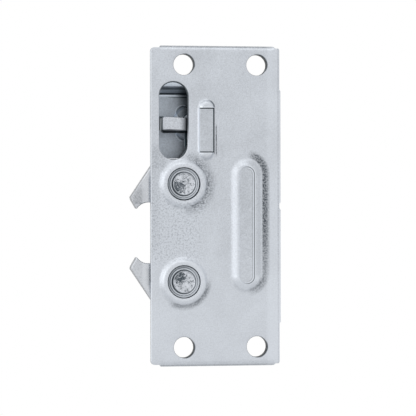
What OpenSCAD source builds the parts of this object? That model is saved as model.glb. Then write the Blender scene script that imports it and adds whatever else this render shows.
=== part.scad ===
// Car door latch: a pressed steel case with two opposed hook claws, a release
// lever behind an oblong slot, and the pivots, springs and stops that it needs.
// Origin: centre of the four mounting holes on the front face, +Z up, front towards -Y.

/* [Front cover] */
// Width of the front plate
plate_w = 56.6; // [54:0.1:60]
// Height of the front plate
plate_h = 136.8; // [134:0.5:142]
// Sheet thickness of the cover and the case
sheet_t = 2; // [1.5:0.1:2.2]
// Offset of the plate's middle from the hole pattern's middle
plate_off = -2.2; // [-4:0.1:-2]
// Radius of the plate's corners
corner_r = 1.7; // [0.8:0.1:3]
// Depth of the edges that are bent back
flange_d = 6; // [5:0.5:8]
// Outer radius of the bent edges
bend_r = 2.4; // [2.3:0.1:3]

/* [Mounting holes] */
// Hole spacing across
mount_w = 32; // [31:0.5:34]
// Hole spacing up
mount_h = 122; // [121:0.5:124]
// Hole diameter
mount_d = 9; // [6:0.1:9.5]

/* [Release slot] */
// Width of the slot
slot_w = 12.1; // [11:0.1:13]
// Height of the slot
slot_h = 33.4; // [32:0.2:34]
// Across position of the slot
slot_x = -20.4; // [-21:0.1:-20]
// Height of the slot's middle
slot_z = 36.9; // [36:0.1:38]

/* [Pressed forms] */
// Raised height of the pivot bosses
boss_h = 1.6; // [1:0.1:2]
// Foot radius of the pivot bosses
boss_foot_r = 10.4; // [10:0.1:11]
// Top radius of the pivot bosses
boss_top_r = 8.6; // [8:0.1:9]
// Raised height of the long rib
rib_h = 2.2; // [1.5:0.1:2.5]
// Length of the rib's flat top
rib_len = 50.7; // [40:0.5:54]
// Width of the rib's flat top
rib_w = 6.7; // [5:0.1:8]
// Spread of the rib's foot on each side
rib_foot = 3.35; // [2.5:0.05:4]
// Across position of the rib
rib_x = 11.3; // [11:0.1:12]
// Height of the rib's middle
rib_z = -8.35; // [-10:0.05:-6]
// Raised height of the bridge strap
strap_h = 1.8; // [1:0.1:1.9]
// Width of the bridge strap
strap_w = 6.4; // [5:0.1:7]
// Length of the strap's flat part
strap_len = 19.3; // [16:0.1:21]
// Run of the domed ends
strap_end = 3.8; // [3:0.1:4]
// Across position of the strap
strap_x = -6.1; // [-6.5:0.1:-5.5]
// Height of the strap's middle
strap_z = 32.75; // [32:0.05:34]

/* [Case] */
// Depth from the front face to the back of the case
case_d = 17; // [16.6:0.1:18]
// Height inside the case at its floor
case_inner_h = 98; // [97:0.5:100]
// Extra height inside the case at its mouth
case_draft = 4; // [2:0.5:5]
// Left edge of the case
case_left = -26.8; // [-27.5:0.1:-26]
// Outer face of the case's right wall
case_right = 22; // [21:0.1:23]
// Height of the case's top and bottom edges behind the plate
case_edge_z = 66.4; // [66:0.1:66.5]
// Half length of the pressed bead on the case's back
bead_half = 26; // [15:1:30]
// Radius of the pressed bead
bead_r = 3.5; // [2.5:0.1:4.5]
// Across position of the bead
bead_x = 9; // [6:0.5:12]
// Depth of the pressed bead
bead_d = 1.2; // [0.6:0.1:1.5]

/* [Claws] */
// Across position of both claw pivots
pivot_x = -16.2; // [-16.6:0.1:-16]
// Height of the upper pivot
upper_z = 9.5; // [9:0.1:9.8]
// Distance between the two pivots
pivot_gap = 42.2; // [42:0.1:42.6]
// Thickness of a claw
claw_t = 6; // [5.5:0.1:6.2]
// Depth of the claws' front face
claw_y = 3; // [2.9:0.1:3.3]
// Radius of a claw's hub
hub_r = 11.4; // [11:0.1:11.6]
// Radius of the sync pin
sync_r = 2.5; // [2:0.1:2.8]
// Sideways play of the sync pin in its fork
sync_play = 0.5; // [0.45:0.05:0.7]
// Gap between the two lapped sync arms
lap_gap = 0.4; // [0.3:0.05:0.6]
// Opening angle of the claws
claw_open = 14.4; // [10:0.1:14.6]

/* [Pivots] */
// Radius of the pivot pin's shank
shank_r = 4; // [3.5:0.1:4.2]
// Radius of the spun head
head_r = 5; // [4.8:0.1:5.6]
// Radius of the bush's front collar
collar_r = 7; // [6.8:0.1:7.2]
// Radius of the bush that the claw turns on
journal_r = 6; // [5.6:0.1:6.2]
// Radius of the factory head at the back
rear_head_r = 6.5; // [5.5:0.1:8]
// Running clearance of a turning bore on its shaft
run_gap = 0.06; // [0.03:0.01:0.09]
// Thickness of the thrust washers
washer_t = 0.9; // [0.6:0.05:1]

/* [Release lever] */
// Across position of the lever's pivot
lever_x = -10.5; // [-11:0.1:-10]
// Height of the lever's pivot
lever_z = 36.2; // [36:0.1:36.6]
// Thickness of the lever
lever_t = 2; // [1.6:0.1:2.2]
// Radius of the lever's hub
lever_hub_r = 5; // [4.6:0.1:5.4]
// Width of the tab
tab_w = 6.3; // [5:0.1:7]
// Left end of the tab
tab_end_x = -25.3; // [-25.6:0.1:-24]
// Height of the tab's middle at its left end
tab_end_z = 35.55; // [35:0.05:36.5]
// Tilt of the tab
tab_tilt = -2.6; // [-4:0.1:0]
// Gap between the tab and the back of the front plate
tab_gap = 0.5; // [0.4:0.05:1]
// Length of the lip folded back at the tab's end
tab_lip = 4.5; // [4:0.1:6]
// Radius of the drive pin
drive_r = 2; // [1.8:0.1:2.2]
// Across position of the drive pin
drive_x = -9.5; // [-10:0.1:-9.2]
// Height of the drive pin
drive_z = 25.9; // [25.6:0.1:26.2]
// Sideways play of the drive pin in the lever's fork
drive_play = 0.6; // [0.55:0.05:0.8]
// Turning angle of the lever
lever_swing = 16; // [12:0.5:16]
// Radius of the boss that carries the lever
lever_boss_r = 8; // [7.4:0.1:8.4]

/* [Springs] */
// Wire diameter of the claw springs
claw_wire = 1; // [0.8:0.05:1.1]
// Least pitch of the claw springs' turns
claw_pitch = 1.45; // [1.45:0.01:1.5]
// Wire diameter of the lever's spring
lever_wire = 0.8; // [0.6:0.05:0.9]
// Pitch of the lever spring's turns
lever_pitch = 1.3; // [1.3:0.05:1.4]
// Radius of the spring posts
post_r = 2; // [1.6:0.1:2.2]

/* [Stop] */
// Radius of the rubber buffer
buffer_r = 3.6; // [3:0.1:4]
// Radius of the buffer's post
stop_post_r = 1.8; // [1.4:0.1:2]
// Rest gap between the fork and the buffer
stop_gap = 0.3; // [0.2:0.05:0.4]

/* [Hidden] */
$fn = 64;
big = 200;
fuse = 0.4;
zinc = [0.80, 0.82, 0.84];
dark_zinc = [0.62, 0.65, 0.68];
wire_grey = [0.45, 0.46, 0.48];

lower_z = upper_z - pivot_gap;
mid_z = (upper_z + lower_z) / 2;
upper = [pivot_x, upper_z];
lower = [pivot_x, lower_z];
sync_at = [pivot_x, mid_z];
drive_at = [drive_x, drive_z];
lever_at = [lever_x, lever_z];
claw_back = claw_y + claw_t;
floor_y = case_d - sheet_t;
collar_end = claw_y - washer_t - 0.3;
bush_front = -boss_h + 0.5;
play = 0.02;

// Solids from flat shapes: x across, y as height, pushed back from depth y0.
module slab(y0, t) { translate([0, y0 + t, 0]) rotate([90, 0, 0]) linear_extrude(t) children(); }
// A turned solid on an axis along Y; profile points are [radius, depth].
module turned(at) { translate([at[0], 0, at[1]]) rotate([-90, 0, 0]) rotate_extrude() children(); }
// A round bar or bore along Y.
module bar(at, r, y0, y1) {
    translate([at[0], y0, at[1]]) rotate([-90, 0, 0]) cylinder(r = r, h = y1 - y0);
}
module ring(at, r_in, r_out, y0, y1) {
    turned(at) translate([r_in, y0]) square([r_out - r_in, y1 - y0]);
}

module round_rect(w, h, r) {
    square([w - 2 * r, h], center = true);
    square([w, h - 2 * r], center = true);
    for (sx = [-1, 1], sy = [-1, 1]) translate([sx * (w / 2 - r), sy * (h / 2 - r)]) circle(r);
}
module stadium(w, h) {
    square([w, h - w], center = true);
    for (s = [-1, 1]) translate([0, s * (h - w) / 2]) circle(w / 2);
}
// A straight arm with half widths wa and wb, measured square to its line.
module arm(a, wa, b, wb) {
    d = b - a;
    n = [-d[1], d[0]] / norm(d);
    polygon([a + n * wa, b + n * wb, b - n * wb, a - n * wa]);
}

// Points along an arc, from angle a0 to a1.
arc_steps = 6;
function arc(c, r, a0, a1) =
    [for (i = [0:arc_steps]) let(a = a0 + (a1 - a0) * i / arc_steps) c + r * [cos(a), sin(a)]];

// Bent sheet edge: u runs outwards from the bend's start, v is depth.
module bend_profile(depth) {
    difference() {
        translate([0, bend_r]) circle(bend_r);
        translate([0, bend_r]) circle(bend_r - sheet_t);
        translate([-big, -big]) square([big, 2 * big]);
        translate([-big, bend_r]) square([2 * big, big]);
    }
    translate([bend_r - sheet_t, bend_r]) square([sheet_t, depth - bend_r]);
}

// Cover: edges, cut-outs and pressed forms
plate_left = plate_off - plate_w / 2;
plate_right = plate_off + plate_w / 2;
top_z = plate_h / 2;
edge_out = 0.9;
end_bend_z = top_z + edge_out - bend_r;
side_bend_x = plate_right + edge_out - bend_r;
end_flange_x = [plate_left + 3.9, plate_right - 2.7];
side_flanges = [[top_z - 66.5, top_z - 18.9], [-top_z + 18.3, -top_z + 66.4]];
side_flange_d = flange_d + 2;
rib_half = (rib_len - rib_w) / 2;
strap_half = strap_len / 2;
dome_r = (strap_end * strap_end + strap_h * strap_h) / (2 * strap_h);
boss_hole_r = collar_r + 0.1;
wall_in = 0.6;

module end_flange() {
    translate([end_flange_x[1], 0, end_bend_z]) rotate([0, -90, 0])
        linear_extrude(end_flange_x[1] - end_flange_x[0]) bend_profile(flange_d);
}
module side_flange(z0, z1) {
    translate([side_bend_x, 0, z0]) linear_extrude(z1 - z0) bend_profile(side_flange_d);
}
module plate_outline() {
    difference() {
        translate([plate_off, 0]) round_rect(plate_w, plate_h, corner_r);
        for (z = [end_bend_z, -end_bend_z - big]) translate([end_flange_x[0], z])
            square([end_flange_x[1] - end_flange_x[0], big]);
        for (f = side_flanges) translate([side_bend_x, f[0]]) square([big, f[1] - f[0]]);
        translate([slot_x, slot_z]) stadium(slot_w, slot_h);
    }
}
module mount_holes(y0, y1) {
    for (sx = [-1, 1], sz = [-1, 1]) bar([sx * mount_w / 2, sz * mount_h / 2], mount_d / 2, y0, y1);
}
// A pressed form with rounded ends: foot radius r0 at depth y0, top radius r1 at depth y1.
module pressed_profile(r0, y0, r1, y1) {
    polygon([[0, y0 + fuse], [r0, y0 + fuse], [r0, y0], [r1, y1], [0, y1]]);
}
module pressed_round(at, r0, y0, r1, y1) { turned(at) pressed_profile(r0, y0, r1, y1); }
module pressed_long(at, half, r0, y0, r1, y1) {
    for (s = [-1, 1]) pressed_round([at[0], at[1] + s * half], r0, y0, r1, y1);
    translate([at[0], 0, at[1] - half]) linear_extrude(2 * half) {
        pressed_profile(r0, y0, r1, y1);
        mirror([1, 0]) pressed_profile(r0, y0, r1, y1);
    }
}
// The bridge strap with its two half domes, with its crown at depth y_top.
module strap_form(y_top) {
    translate([strap_x - strap_w / 2, y_top, strap_z - strap_half]) cube([strap_w, strap_h + 0.2, strap_len]);
    for (s = [-1, 1]) intersection() {
        turned([strap_x, strap_z + s * strap_half]) intersection() {
            translate([0, y_top + dome_r]) circle(dome_r);
            translate([0, y_top]) square([strap_end, strap_h + 0.2]);
        }
        translate([-big / 2, -big / 2, s > 0 ? strap_z + strap_half - fuse : strap_z - strap_half + fuse - big])
            cube(big);
    }
}
module front_cover() {
    color(zinc) difference() {
        union() {
            slab(0, sheet_t) plate_outline();
            end_flange();
            mirror([0, 0, 1]) end_flange();
            for (f = side_flanges) side_flange(f[0], f[1]);
            for (at = [upper, lower]) pressed_round(at, boss_foot_r, 0, boss_top_r, -boss_h);
            pressed_long([rib_x, rib_z], rib_half, rib_w / 2 + rib_foot, 0, rib_w / 2, -rib_h);
            strap_form(-strap_h);
        }
        for (at = [upper, lower]) {
            pressed_round(at, boss_foot_r - wall_in, sheet_t, boss_top_r - wall_in, sheet_t - boss_h);
            bar(at, boss_hole_r, -boss_h - 1, sheet_t + 1);
        }
        pressed_long([rib_x, rib_z], rib_half, rib_w / 2 + rib_foot - wall_in, sheet_t,
            rib_w / 2 - wall_in, sheet_t - rib_h);
        strap_form(sheet_t - strap_h);
        mount_holes(-1, sheet_t + 1);
    }
}

// Case: a pressed channel with edges behind the plate, a right wall and pressed bosses
lever_y = claw_back + 0.6;
lever_back = lever_y + lever_t;
lever_boss_y = lever_back + 0.3;
boss_rise = floor_y - lever_boss_y;
case_floor_z = case_inner_h / 2;
case_mouth_z = case_floor_z + case_draft / 2;
rivet_r = 2.5;
rivet_head_r = 4.2;
stop_at = [pivot_x + sync_r + sync_play + 3 + stop_gap + buffer_r, mid_z];

function half_case(s) = [[s * case_floor_z, floor_y], [s * case_mouth_z, sheet_t], [s * case_edge_z, sheet_t],
    [s * case_edge_z, 2 * sheet_t], [s * (case_mouth_z + sheet_t), 2 * sheet_t],
    [s * (case_floor_z + sheet_t), case_d]];
function flip(list) = [for (i = [len(list) - 1:-1:0]) list[i]];
module case_section() { polygon(concat(half_case(1), flip(half_case(-1)))); }
module wall_section() {
    polygon([[-case_mouth_z - 1, sheet_t], [case_mouth_z + 1, sheet_t], [case_floor_z + 1, case_d - 0.5],
        [-case_floor_z - 1, case_d - 0.5]]);
}
// Sections drawn as [height, depth] and run across from x0 to x1.
module across(x0, x1) { translate([x0, 0, 0]) multmatrix([[0, 0, 1, 0], [0, 1, 0, 0], [1, 0, 0, 0],
    [0, 0, 0, 1]]) linear_extrude(x1 - x0) children(); }

module rear_housing() {
    color(dark_zinc) difference() {
        union() {
            across(case_left, case_right) case_section();
            across(case_right - sheet_t, case_right) wall_section();
            turned(lever_at) polygon([[0, floor_y + fuse], [lever_boss_r, floor_y + fuse], [lever_boss_r, floor_y],
                [lever_boss_r - 0.7, lever_boss_y], [0, lever_boss_y]]);
            pressed_long([bead_x, 0], bead_half, bead_r + 1, floor_y, bead_r, floor_y - bead_d);
        }
        turned(lever_at) polygon([[0, case_d + fuse], [lever_boss_r - 1, case_d + fuse],
            [lever_boss_r - 1, case_d], [lever_boss_r - 1.7, lever_boss_y + sheet_t],
            [0, lever_boss_y + sheet_t]]);
        pressed_long([bead_x, 0], bead_half, bead_r + 1 - wall_in, case_d, bead_r - wall_in, case_d - bead_d);
        for (at = [upper, lower]) bar(at, shank_r + play, floor_y - 1, case_d + 1);
        bar(lever_at, rivet_r + play, lever_boss_y - 1, case_d);
        for (at = [upper_post_at, lower_post_at, lever_post_at]) bar(at, tail_r, floor_y - 1, case_d + 1);
        bar(stop_at, tail_r, floor_y - 1, case_d + 1);
        mount_holes(sheet_t - 1, 2 * sheet_t + 1);
    }
}

// Claws, drawn about their own pivot; the lower one is the upper one's mirror image
nose_x = 22.45;
nose_z = 5.6;
throat_r = 6.05;
throat_at = [-14.8, -14];
arm_t = (claw_t - lap_gap) / 2;
ear_r = 3.4;
sync_eye_r = sync_r + 2.1;
fork_r = sync_r + sync_play + 3;
half_gap = pivot_gap / 2;
drive_arm = drive_at - upper;
spring_pin_r = 1.5;
spring_pin_arm = 9.3 * [cos(30), sin(30)];

module hook_outline() {
    difference() {
        polygon([[-nose_x, -nose_z], [-nose_x + 0.35, -nose_z - 1.3], [-nose_x + 1.9, -nose_z - 5],
            [-14.8, -nose_z - 5], [-14.8, -8], [-8, -8], [0, 0], [-1.5, hub_r - 0.15], [-9.2, hub_r - 0.1],
            [-10.6, hub_r - 0.4], [-12.3, hub_r - 1.85]]);
        translate(throat_at) circle(throat_r);
    }
    circle(hub_r);
}
module claw_bore() { bar([0, 0], journal_r + run_gap, claw_y - 1, claw_back + 1); }
module at_upper() { translate([upper[0], 0, upper[1]]) children(); }
module at_lower() { translate([lower[0], 0, lower[1]]) mirror([0, 0, 1]) children(); }

module upper_claw() {
    color(zinc) at_upper() difference() {
        union() {
            slab(claw_y, claw_t) {
                hook_outline();
                arm([0, 0], 7.5, drive_arm, ear_r - 0.3);
                translate(drive_arm) circle(ear_r);
            }
            slab(claw_y, arm_t) {
                arm([0, 0], 6, [0, -half_gap], sync_eye_r - 0.4);
                translate([0, -half_gap]) circle(sync_eye_r);
            }
        }
        claw_bore();
        bar([0, -half_gap], sync_r, claw_y - 1, claw_back + 1);
        bar(drive_arm, drive_r, claw_y - 1, claw_back + 1);
    }
}
module lower_claw() {
    color(zinc) at_lower() difference() {
        union() {
            slab(claw_y, claw_t) hook_outline();
            slab(claw_back - arm_t, arm_t) difference() {
                union() {
                    arm([0, 0], 7.5, [0, -half_gap], fork_r - 0.3);
                    translate([0, -half_gap]) circle(fork_r);
                }
                translate([0, -half_gap]) circle(sync_r + sync_play);
                translate([-sync_r - sync_play, -half_gap - 2 * fork_r])
                    square([2 * (sync_r + sync_play), 2 * fork_r]);
            }
        }
        claw_bore();
        bar(spring_pin_arm, spring_pin_r, claw_y - 1, claw_back + 1);
    }
}
module sync_pin() { color(zinc) bar(sync_at, sync_r, claw_y, claw_back - 0.2); }
module drive_pin() {
    color(zinc) bar(drive_at, drive_r, claw_y, floor_y - 0.4);
}
module lower_spring_pin() {
    color(zinc) at_lower() bar(spring_pin_arm, spring_pin_r, claw_y, floor_y - 0.4);
}

// Pivots
module pivot_pin(at) {
    color(zinc) turned(at) polygon([[0, bush_front - 0.5], [2.4, bush_front - 0.6], [3.4, bush_front - 1.1],
        [head_r - 0.7, bush_front - 1.1], [head_r, bush_front - 0.5], [head_r, bush_front],
        [shank_r, bush_front], [shank_r, case_d], [rear_head_r, case_d], [rear_head_r, case_d + 0.9],
        [rear_head_r - 1, case_d + 1.6], [0, case_d + 1.6]]);
}
module pivot_bush(at) {
    color(dark_zinc) turned(at) polygon([[shank_r + play, bush_front], [collar_r - 0.3, bush_front],
        [collar_r, bush_front + 0.3], [collar_r, collar_end], [journal_r, collar_end], [journal_r, floor_y],
        [shank_r + play, floor_y]]);
}
module thrust_washer(at) {
    color(dark_zinc) ring(at, journal_r + run_gap, boss_top_r - 0.4, collar_end, collar_end + washer_t);
}
module upper_pivot_pin() { pivot_pin(upper); }
module lower_pivot_pin() { pivot_pin(lower); }
module upper_pivot_bush() { pivot_bush(upper); }
module lower_pivot_bush() { pivot_bush(lower); }
module upper_thrust_washer() { thrust_washer(upper); }
module lower_thrust_washer() { thrust_washer(lower); }

// Springs: one swept tube through a path of points, closed at both ends
tube_sides = 6;
rings_per_turn = 8;
function unit(v) = v / norm(v);
function along(p, i) = unit(p[min(i + 1, len(p) - 1)] - p[max(i - 1, 0)]);
function tube_ring(c, dir, r, up) = let(u = unit(cross(dir, up)), v = cross(dir, u))
    [for (k = [0:tube_sides - 1]) let(a = 360 * k / tube_sides) c + r * (u * cos(a) + v * sin(a))];
function tube_points(p, r) = [for (i = [0:len(p) - 1]) each tube_ring(p[i], along(p, i), r, [0, 1, 0])];
function tube_side_faces(n) = [for (i = [0:n - 2], k = [0:tube_sides - 1])
    let(a = i * tube_sides + k, b = i * tube_sides + (k + 1) % tube_sides)
    each [[a, b, b + tube_sides], [a, b + tube_sides, a + tube_sides]]];
function tube_caps(n) = [for (k = [1:tube_sides - 2])
    each [[0, k + 1, k], [(n - 1) * tube_sides, (n - 1) * tube_sides + k, (n - 1) * tube_sides + k + 1]]];
module tube(p, r) { polyhedron(tube_points(p, r), concat(tube_side_faces(len(p)), tube_caps(len(p)))); }

// A torsion spring's centre line about [0, 0]: a straight leg, turns from a0 to a1, a straight leg.
function coil_at(r, a, y) = [r * cos(a), y, r * sin(a)];
function coil_line(r, a0, a1, y0, pitch, leg0, leg1) = let(
    s = sign(a1 - a0),
    steps = ceil(abs(a1 - a0) / 360 * rings_per_turn),
    y1 = y0 + pitch * abs(a1 - a0) / 360,
    d0 = [sin(a0), 0, -cos(a0)] * s,
    d1 = [-sin(a1), 0, cos(a1)] * s)
    concat([coil_at(r, a0, y0) + d0 * leg0, coil_at(r, a0, y0) + d0 * 0.6],
        [for (i = [0:steps]) let(f = i / steps) coil_at(r, a0 + (a1 - a0) * f, y0 + (y1 - y0) * f)],
        [coil_at(r, a1, y1) + d1 * 0.6, coil_at(r, a1, y1) + d1 * leg1]);
// Least distance between points that lie more than half a turn apart, less the wire.
function self_gap(p, wire) = min([for (i = [1:len(p) - 2], j = [1:len(p) - 2])
    if (j - i > rings_per_turn / 2) norm(p[i] - p[j])]) - wire;

coil_r = (journal_r + 0.25 + claw_wire / 2) / cos(180 / rings_per_turn);
coil_clear = 0.45;
coil_y = claw_back + coil_clear + claw_wire / 2;
coil_rise = floor_y - coil_clear - claw_wire / 2 - coil_y;
fixed_leg = 18;
// The moving leg leaves the coil so that it just touches the pin at arm v with radius r.
function leg_angle(v, r) = let(off = r + claw_wire / 2 + 0.1)
    atan2(v[1], v[0]) + asin((coil_r - off) / norm(v)) - 90;
// As many whole turns as fit between the claw and the case's floor, and the part turn that the leg needs.
function part_turn(v, r) = (leg_angle(v, r) - 90) / 360;
function coil_turns(v, r) = floor(coil_rise / claw_pitch - part_turn(v, r)) + part_turn(v, r);
function claw_coil(v, r) = coil_line(coil_r, 90, 90 + 360 * coil_turns(v, r), coil_y,
    coil_rise / coil_turns(v, r), fixed_leg, norm(v) + 0.8);
upper_coil = claw_coil(drive_arm, drive_r);
lower_coil = claw_coil(spring_pin_arm, spring_pin_r);
post_drop = coil_r - claw_wire / 2 - post_r - 0.05;
upper_post_at = upper + [fixed_leg - 3, post_drop];
lower_post_at = lower + [fixed_leg - 3, -post_drop];
tail_r = 1.4;

module upper_claw_spring() { color(wire_grey) at_upper() tube(upper_coil, claw_wire / 2); }
module lower_claw_spring() { color(wire_grey) at_lower() tube(lower_coil, claw_wire / 2); }
module riveted_post(at, r, y0) {
    color(zinc) {
        bar(at, r, y0, floor_y);
        bar(at, tail_r, y0, case_d);
        turned(at) polygon([[0, case_d - 0.1], [tail_r, case_d - 0.1], [tail_r, case_d], [tail_r + 0.8, case_d],
            [tail_r + 0.6, case_d + 0.6], [0, case_d + 0.8]]);
    }
}
module upper_spring_post() { riveted_post(upper_post_at, post_r, claw_back + 0.3); }
module lower_spring_post() { riveted_post(lower_post_at, post_r, claw_back + 0.3); }

// Release lever: a flat hub and fork, and a tab that steps forward behind the slot
tab_y = sheet_t + tab_gap;
bend_out = lever_t + 0.4;
bend_in = 0.4;
web_s = 10.2;
hub_s = lever_x - tab_end_x;
fork_dir = unit(drive_at - lever_at);
fork_reach = 16.5;
fork_half = drive_r + drive_play;
spring_ear = [-10, -7.6, 29.8, 31.4];

module tab_profile() {
    polygon(concat([[0, tab_y + tab_lip]],
        arc([bend_out, tab_y + bend_out], bend_out, 180, 270),
        arc([web_s - bend_out, tab_y + bend_out], bend_out, 270, 360),
        arc([web_s + bend_in, lever_y - bend_in], bend_in, 180, 90),
        [[hub_s, lever_y], [hub_s, lever_back]],
        arc([web_s - lever_t + bend_out, lever_back - bend_out], bend_out, 90, 180),
        arc([web_s - lever_t - bend_in, tab_y + lever_t + bend_in], bend_in, 0, -90),
        arc([lever_t + bend_in, tab_y + lever_t + bend_in], bend_in, 270, 180),
        [[lever_t, tab_y + tab_lip]]));
}
module release_lever() {
    color(zinc) difference() {
        union() {
            intersection() {
                translate([tab_end_x, 0, tab_end_z]) rotate([0, -tab_tilt, 0])
                    translate([0, 0, -tab_w / 2]) linear_extrude(tab_w) tab_profile();
                translate([tab_end_x, 0, tab_end_z]) rotate([0, -tab_tilt, 0])
                    slab(0, case_d) translate([hub_s / 2, 0]) round_rect(hub_s, tab_w, 1.2);
            }
            slab(lever_y, lever_t) {
                translate(lever_at) circle(lever_hub_r);
                difference() {
                    arm(lever_at, 4, lever_at + fork_dir * fork_reach, fork_half + 2.2);
                    translate(drive_at - fork_dir * 0.4) circle(fork_half);
                    arm(drive_at - fork_dir * 0.4, fork_half, lever_at + fork_dir * 2 * fork_reach, fork_half);
                }
            }
            translate([spring_ear[0], lever_y - 1.8, spring_ear[2]])
                cube([spring_ear[1] - spring_ear[0], 1.8 + fuse, spring_ear[3] - spring_ear[2]]);
        }
        bar(lever_at, rivet_r + run_gap, tab_y, case_d);
    }
}
lever_coil_r = (rivet_r + 0.3 + lever_wire / 2) / cos(180 / rings_per_turn);
lever_coil_back = lever_y - 0.7 - lever_wire / 2;
lever_coil_turn = 990;
lever_coil_y = lever_coil_back - lever_pitch * lever_coil_turn / 360;
lever_leg = 12;
lever_coil = coil_line(lever_coil_r, -90, -90 - lever_coil_turn, lever_coil_y, lever_pitch, lever_leg, 6);
lever_post_at = lever_at + [lever_leg - 1, -lever_coil_r + lever_wire / 2 + post_r + 0.05];

module lever_return_spring() {
    color(wire_grey) translate([lever_at[0], 0, lever_at[1]]) tube(lever_coil, lever_wire / 2);
}
module lever_pivot_rivet() {
    color(zinc) turned(lever_at) polygon([[0, tab_y], [rivet_head_r - 0.8, tab_y], [rivet_head_r, tab_y + 0.5], [rivet_head_r, tab_y + 1],
        [rivet_r, tab_y + 1], [rivet_r, lever_boss_y + sheet_t], [rivet_r + 1.4, lever_boss_y + sheet_t],
        [rivet_r + 1.1, lever_boss_y + sheet_t + 1], [0, lever_boss_y + sheet_t + 1.2]]);
}
module lever_washer() { color(dark_zinc) ring(lever_at, rivet_r + run_gap, rivet_head_r + 0.2, lever_y - 0.6, lever_y - 0.1); }
module lever_spring_post() { riveted_post(lever_post_at, post_r, lever_coil_y - 1); }
module stop_post() { riveted_post(stop_at, stop_post_r, claw_back - arm_t - 0.4); }
module stop_buffer() {
    color([0.12, 0.12, 0.13]) ring(stop_at, stop_post_r, buffer_r, claw_back - arm_t - 0.2, floor_y - 0.3);
}

echo(upper_spring_gap = self_gap(upper_coil, claw_wire));
echo(lower_spring_gap = self_gap(lower_coil, claw_wire));
echo(lever_spring_gap = self_gap(lever_coil, lever_wire));

front_cover();
rear_housing();
upper_claw();
lower_claw();
upper_pivot_pin();
lower_pivot_pin();
upper_pivot_bush();
lower_pivot_bush();
upper_thrust_washer();
lower_thrust_washer();
upper_claw_spring();
lower_claw_spring();
upper_spring_post();
lower_spring_post();
lower_spring_pin();
sync_pin();
drive_pin();
release_lever();
lever_pivot_rivet();
lever_washer();
lever_return_spring();
lever_spring_post();
stop_post();
stop_buffer();
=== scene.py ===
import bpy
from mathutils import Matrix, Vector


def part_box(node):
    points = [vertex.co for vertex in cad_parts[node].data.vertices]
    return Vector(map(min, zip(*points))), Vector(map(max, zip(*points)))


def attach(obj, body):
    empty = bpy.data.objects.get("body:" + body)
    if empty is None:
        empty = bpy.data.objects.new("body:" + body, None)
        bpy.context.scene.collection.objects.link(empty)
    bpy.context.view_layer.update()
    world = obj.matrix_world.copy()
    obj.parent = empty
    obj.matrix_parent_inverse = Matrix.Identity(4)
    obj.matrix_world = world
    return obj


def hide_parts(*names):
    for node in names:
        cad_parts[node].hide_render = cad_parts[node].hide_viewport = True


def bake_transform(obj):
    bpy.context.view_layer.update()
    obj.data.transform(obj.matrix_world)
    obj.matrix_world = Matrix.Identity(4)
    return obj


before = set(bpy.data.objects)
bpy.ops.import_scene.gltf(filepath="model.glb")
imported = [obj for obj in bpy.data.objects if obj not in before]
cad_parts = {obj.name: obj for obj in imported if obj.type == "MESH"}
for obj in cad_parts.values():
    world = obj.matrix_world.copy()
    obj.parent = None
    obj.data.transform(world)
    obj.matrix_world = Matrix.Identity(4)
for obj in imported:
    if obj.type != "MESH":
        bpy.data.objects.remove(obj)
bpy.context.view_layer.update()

import math

import bmesh
import bpy
import numpy as np
from mathutils import Matrix, Vector, kdtree
from mathutils.geometry import delaunay_2d_cdt

bl_info = {
    "name": "Door Latch Dressing",
    "version": (1, 0, 0),
    "blender": (4, 5, 0),
    "location": "View3D > Sidebar > Latch",
    "description": "Dresses the door latch: pressed sheets, hook claws, spun pivots, lever and springs",
    "category": "Object",
}

MM = 0.001
TINY = 1e-6
NEARLY_STRAIGHT = (math.pi - 0.05) / 2
SHARP_DEGREES = 32.0
TURNED_DEGREES = 28.0
GROWN_DEGREES = 35.0
ROUND_SHARE = 0.49
EASE_SHARE = 0.4
BEND_STEPS = 5
EASE_STEPS = (0.0, 0.3, 0.7, 1.0)
BODY_CASE = "case"
BODY_UPPER = "upper_hook"
BODY_LOWER = "lower_hook"
BODY_LEVER = "lever"


def box_mm(node):
    return [[v / MM for v in corner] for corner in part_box(node)]


def middle(node):
    """Centre of a node across and up, in millimetres."""
    low, high = box_mm(node)
    return Vector(((low[0] + high[0]) / 2, (low[2] + high[2]) / 2))


def cylinder(node):
    """Radius, front and back of a node that is round about an axis along Y."""
    low, high = box_mm(node)
    return (high[0] - low[0]) / 2, low[1], high[1]


# Places and sizes read from the CAD parts in model.glb
UPPER = middle("upper_pivot_pin")
LOWER = middle("lower_pivot_pin")
HALF_GAP = (UPPER.y - LOWER.y) / 2
LEVER_AT = middle("lever_pivot_rivet")
DRIVE_AT = middle("drive_pin")
SPRING_PIN_AT = middle("lower_spring_pin")
COVER_LOW, COVER_HIGH = box_mm("front_cover")
CASE_LOW, CASE_HIGH = box_mm("rear_housing")
LEVER_LOW, LEVER_HIGH = box_mm("release_lever")
CLAW_FRONT, CLAW_BACK = (corner[1] for corner in box_mm("upper_claw"))
HEAD_R, PIN_FRONT, PIN_BACK = cylinder("upper_pivot_pin")
COLLAR_R, BUSH_FRONT, BUSH_BACK = cylinder("upper_pivot_bush")
WASHER_FRONT = cylinder("upper_thrust_washer")[1]
SHEET = CASE_LOW[1]
FLOOR = CASE_HIGH[1] - SHEET
LEVER_BACK = LEVER_HIGH[1]


def smooth_step(t):
    t = np.clip(t, 0.0, 1.0)
    return t * t * (3 - 2 * t)


def ramp(d, foot, top):
    """1 inside the top distance, 0 past the foot distance, with an even S between."""
    return smooth_step((foot - d) / (foot - top))


def distance(x, z, at, half=0.0):
    """Distance from a point, or from an upright segment when half isn't 0."""
    return np.hypot(x - at[0], np.maximum(np.abs(z - at[1]) - half, 0.0))


def bearing(degrees):
    """Cosine and sine of an angle."""
    turn = math.radians(degrees)
    return math.cos(turn), math.sin(turn)


def spun(v, turn):
    """A flat vector turned by an angle in radians."""
    c, s = math.cos(turn), math.sin(turn)
    return Vector((v.x * c - v.y * s, v.x * s + v.y * c))


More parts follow.
